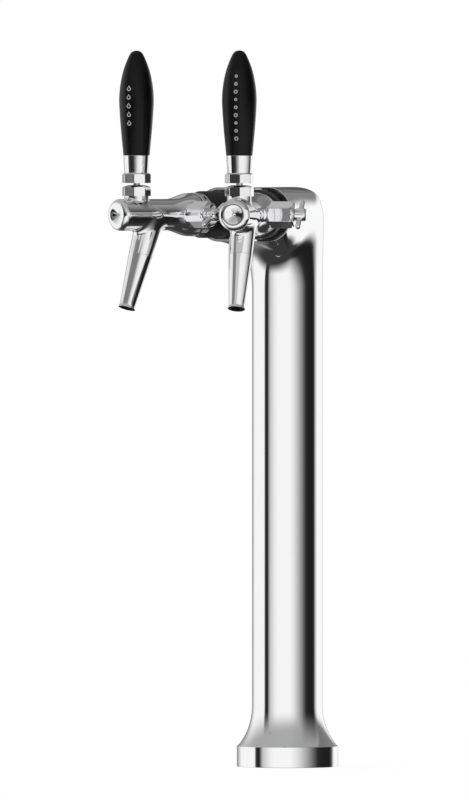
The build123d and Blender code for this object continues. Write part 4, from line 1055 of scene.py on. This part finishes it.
def make_world():
    """Studio of soft light: a tone for each direction, plain white where the camera looks."""
    world = bpy.data.worlds.new("studio")
    bpy.context.scene.world = world
    world.use_nodes = True
    nodes, links = world.node_tree.nodes, world.node_tree.links
    nodes.clear()

    def math_node(how, a, b=None):
        node = nodes.new("ShaderNodeMath")
        node.operation = how
        for socket, value in zip(node.inputs, (a, b)):
            if value is None:
                continue
            if isinstance(value, (int, float)):
                socket.default_value = value
            else:
                links.new(value, socket)
        return node.outputs["Value"]

    def span(value, low, high, out_low, out_high):
        node = nodes.new("ShaderNodeMapRange")
        node.interpolation_type = "SMOOTHSTEP"
        links.new(value, node.inputs["Value"])
        for key, number in (("From Min", low), ("From Max", high), ("To Min", out_low),
                            ("To Max", out_high)):
            if isinstance(number, (int, float)):
                node.inputs[key].default_value = number
            else:
                links.new(number, node.inputs[key])
        return node.outputs["Result"]

    coords = nodes.new("ShaderNodeTexCoord")
    turn = nodes.new("ShaderNodeMapping")
    turn.vector_type = "POINT"
    turn.inputs["Rotation"].default_value = (0, 0, radians(90 - CAMERA_TURN))
    links.new(coords.outputs["Generated"], turn.inputs["Vector"])
    split = nodes.new("ShaderNodeSeparateXYZ")
    links.new(turn.outputs["Vector"], split.inputs["Vector"])
    angle = math_node("ARCTAN2", split.outputs["Y"], split.outputs["X"])
    round_share = math_node("ADD", math_node("DIVIDE", angle, 2 * pi), 0.5)

    def tone_round(table):
        ramp = nodes.new("ShaderNodeFloatCurve")
        curve = ramp.mapping.curves[0]
        while len(curve.points) < len(table):
            curve.points.new(0.5, 0.5)
        for spot, (turned_by, tone) in zip(curve.points, table):
            spot.location = ((turned_by + 180) / 360, tone)
            spot.handle_type = "AUTO_CLAMPED"
        ramp.mapping.update()
        links.new(round_share, ramp.inputs["Value"])
        return ramp.outputs["Value"]

    def blend(low, high, share):
        return math_node("ADD", low, math_node("MULTIPLY", share,
                                               math_node("SUBTRACT", high, low)))

    def between(angles):
        start, full, fade, end = (radians(a) for a in angles)
        return math_node("MULTIPLY", span(angle, start, full, 0.0, 1.0),
                         span(angle, fade, end, 1.0, 0.0))

    beside, behind = between(BESIDE), between(BEHIND)
    height = split.outputs["Z"]
    ceiling = blend(blend(CEILING_FRONT, CEILING_SIDE, beside), CEILING_BACK, behind)
    up = span(height, CEILING_FROM, ceiling, 0.0, 1.0)
    down = span(math_node("MULTIPLY", height, -1.0), blend(BELOW_FROM, BELOW_BACK_FROM, behind),
                blend(BELOW_FULL, BELOW_BACK_FULL, behind), 0.0, 1.0)
    tone = blend(blend(tone_round(STUDIO), tone_round(CEILING), up), FLOOR_DEPTH, down)
    rays = nodes.new("ShaderNodeLightPath")
    seen = math_node("MAXIMUM", tone, rays.outputs["Is Camera Ray"])
    light = nodes.new("ShaderNodeBackground")
    grey = nodes.new("ShaderNodeCombineColor")
    for channel in ("Red", "Green", "Blue"):
        links.new(seen, grey.inputs[channel])
    links.new(grey.outputs["Color"], light.inputs["Color"])
    out = nodes.new("ShaderNodeOutputWorld")
    links.new(light.outputs["Background"], out.inputs["Surface"])


# Two curved cards that stand beside the taps and show only as reflections. Each spot is
# sideways and forward of the column, seen from the front three-quarter side, with its tone.
FLAG = ((-492, 313, 0.012), (-442, 755, 0.045), (-380, 775, 0.13), (-320, 793, 0.22),
        (-230, 815, 0.38), (-150, 830, 0.55), (0, 850, 0.80))
REFLECTOR = ((-60, 440, 0.88), (0, 420, 0.95), (61, 343, 0.95), (100, 290, 0.85),
             (126, 248, 0.62), (145, 183, 0.30), (150, 140, 0.04))
CARD_FOOT, CARD_SHOULDER, CARD_TOP = 490.0, 615.0, 800.0
UPPER_TONE = 0.22
DARK_REACH, BRIGHT_REACH = 730.0, 450.0


def make_card(name, spots, rows, reach):
    """A card that reflections see from up to the reach, and nothing else."""
    turn = radians(CAMERA_TURN)
    right, toward = Vector((cos(turn), sin(turn), 0)), Vector((sin(turn), -cos(turn), 0))
    verts, tones = [], []
    for z, least in rows:
        for sideways, forward, spot_tone in spots:
            verts.append((right * sideways + toward * forward + Vector((0, 0, z))) * MM)
            tones.append(max(spot_tone, least))
    across = len(spots)
    faces = [(low + k, low + k + 1, low + across + k + 1, low + across + k)
             for low in range(0, across * (len(rows) - 1), across) for k in range(across - 1)]
    mesh = bpy.data.meshes.new(name)
    mesh.from_pydata(verts, [], faces)
    mesh.attributes.new("tone", "FLOAT", "POINT").data.foreach_set("value", tones)
    card = bpy.data.objects.new(name, mesh)
    bpy.context.scene.collection.objects.link(card)
    for kind in ("camera", "diffuse", "shadow", "transmission", "volume_scatter"):
        setattr(card, f"visible_{kind}", False)
    mat = bpy.data.materials.new(name)
    mat.use_nodes = True
    nodes, links = mat.node_tree.nodes, mat.node_tree.links
    nodes.remove(nodes["Principled BSDF"])
    tone = nodes.new("ShaderNodeAttribute")
    tone.attribute_name = "tone"
    glow = nodes.new("ShaderNodeEmission")
    links.new(tone.outputs["Fac"], glow.inputs["Strength"])
    rays = nodes.new("ShaderNodeLightPath")
    far = nodes.new("ShaderNodeMath")
    far.operation = "GREATER_THAN"
    far.inputs[1].default_value = reach * MM
    links.new(rays.outputs["Ray Length"], far.inputs[0])
    clear, mix = nodes.new("ShaderNodeBsdfTransparent"), nodes.new("ShaderNodeMixShader")
    links.new(far.outputs["Value"], mix.inputs["Fac"])
    links.new(glow.outputs["Emission"], mix.inputs[1])
    links.new(clear.outputs["BSDF"], mix.inputs[2])
    links.new(mix.outputs["Shader"], nodes["Material Output"].inputs["Surface"])
    mesh.materials.append(mat)


def make_camera():
    turn, rise = radians(CAMERA_TURN), radians(CAMERA_RISE)
    right = Vector((cos(turn), sin(turn), 0))
    away = Vector((sin(turn) * cos(rise), -cos(turn) * cos(rise), sin(rise)))
    centre = right * AIM_ASIDE * MM + Vector((0, 0, AIM_HIGH * MM))
    lens = bpy.data.cameras.new("camera")
    lens.lens, lens.sensor_width, lens.clip_end = CAMERA_LENS, CAMERA_SENSOR, 2 * CAMERA_FAR
    camera = bpy.data.objects.new("camera", lens)
    bpy.context.scene.collection.objects.link(camera)
    camera.location = centre + away * CAMERA_FAR
    camera.rotation_euler = away.to_track_quat("Z", "Y").to_euler()
    bpy.context.scene.camera = camera


make_floor()
make_world()
make_card("dark_card", FLAG,
          ((CARD_FOOT, 0.0), (CARD_SHOULDER, 0.0), (CARD_SHOULDER + 30, UPPER_TONE),
           (CARD_TOP, UPPER_TONE)), DARK_REACH)
make_card("bright_card", REFLECTOR, ((CARD_FOOT, 0.0), (CARD_SHOULDER + 20, 0.0)), BRIGHT_REACH)
make_camera()
bpy.context.scene.view_settings.view_transform = "Standard"
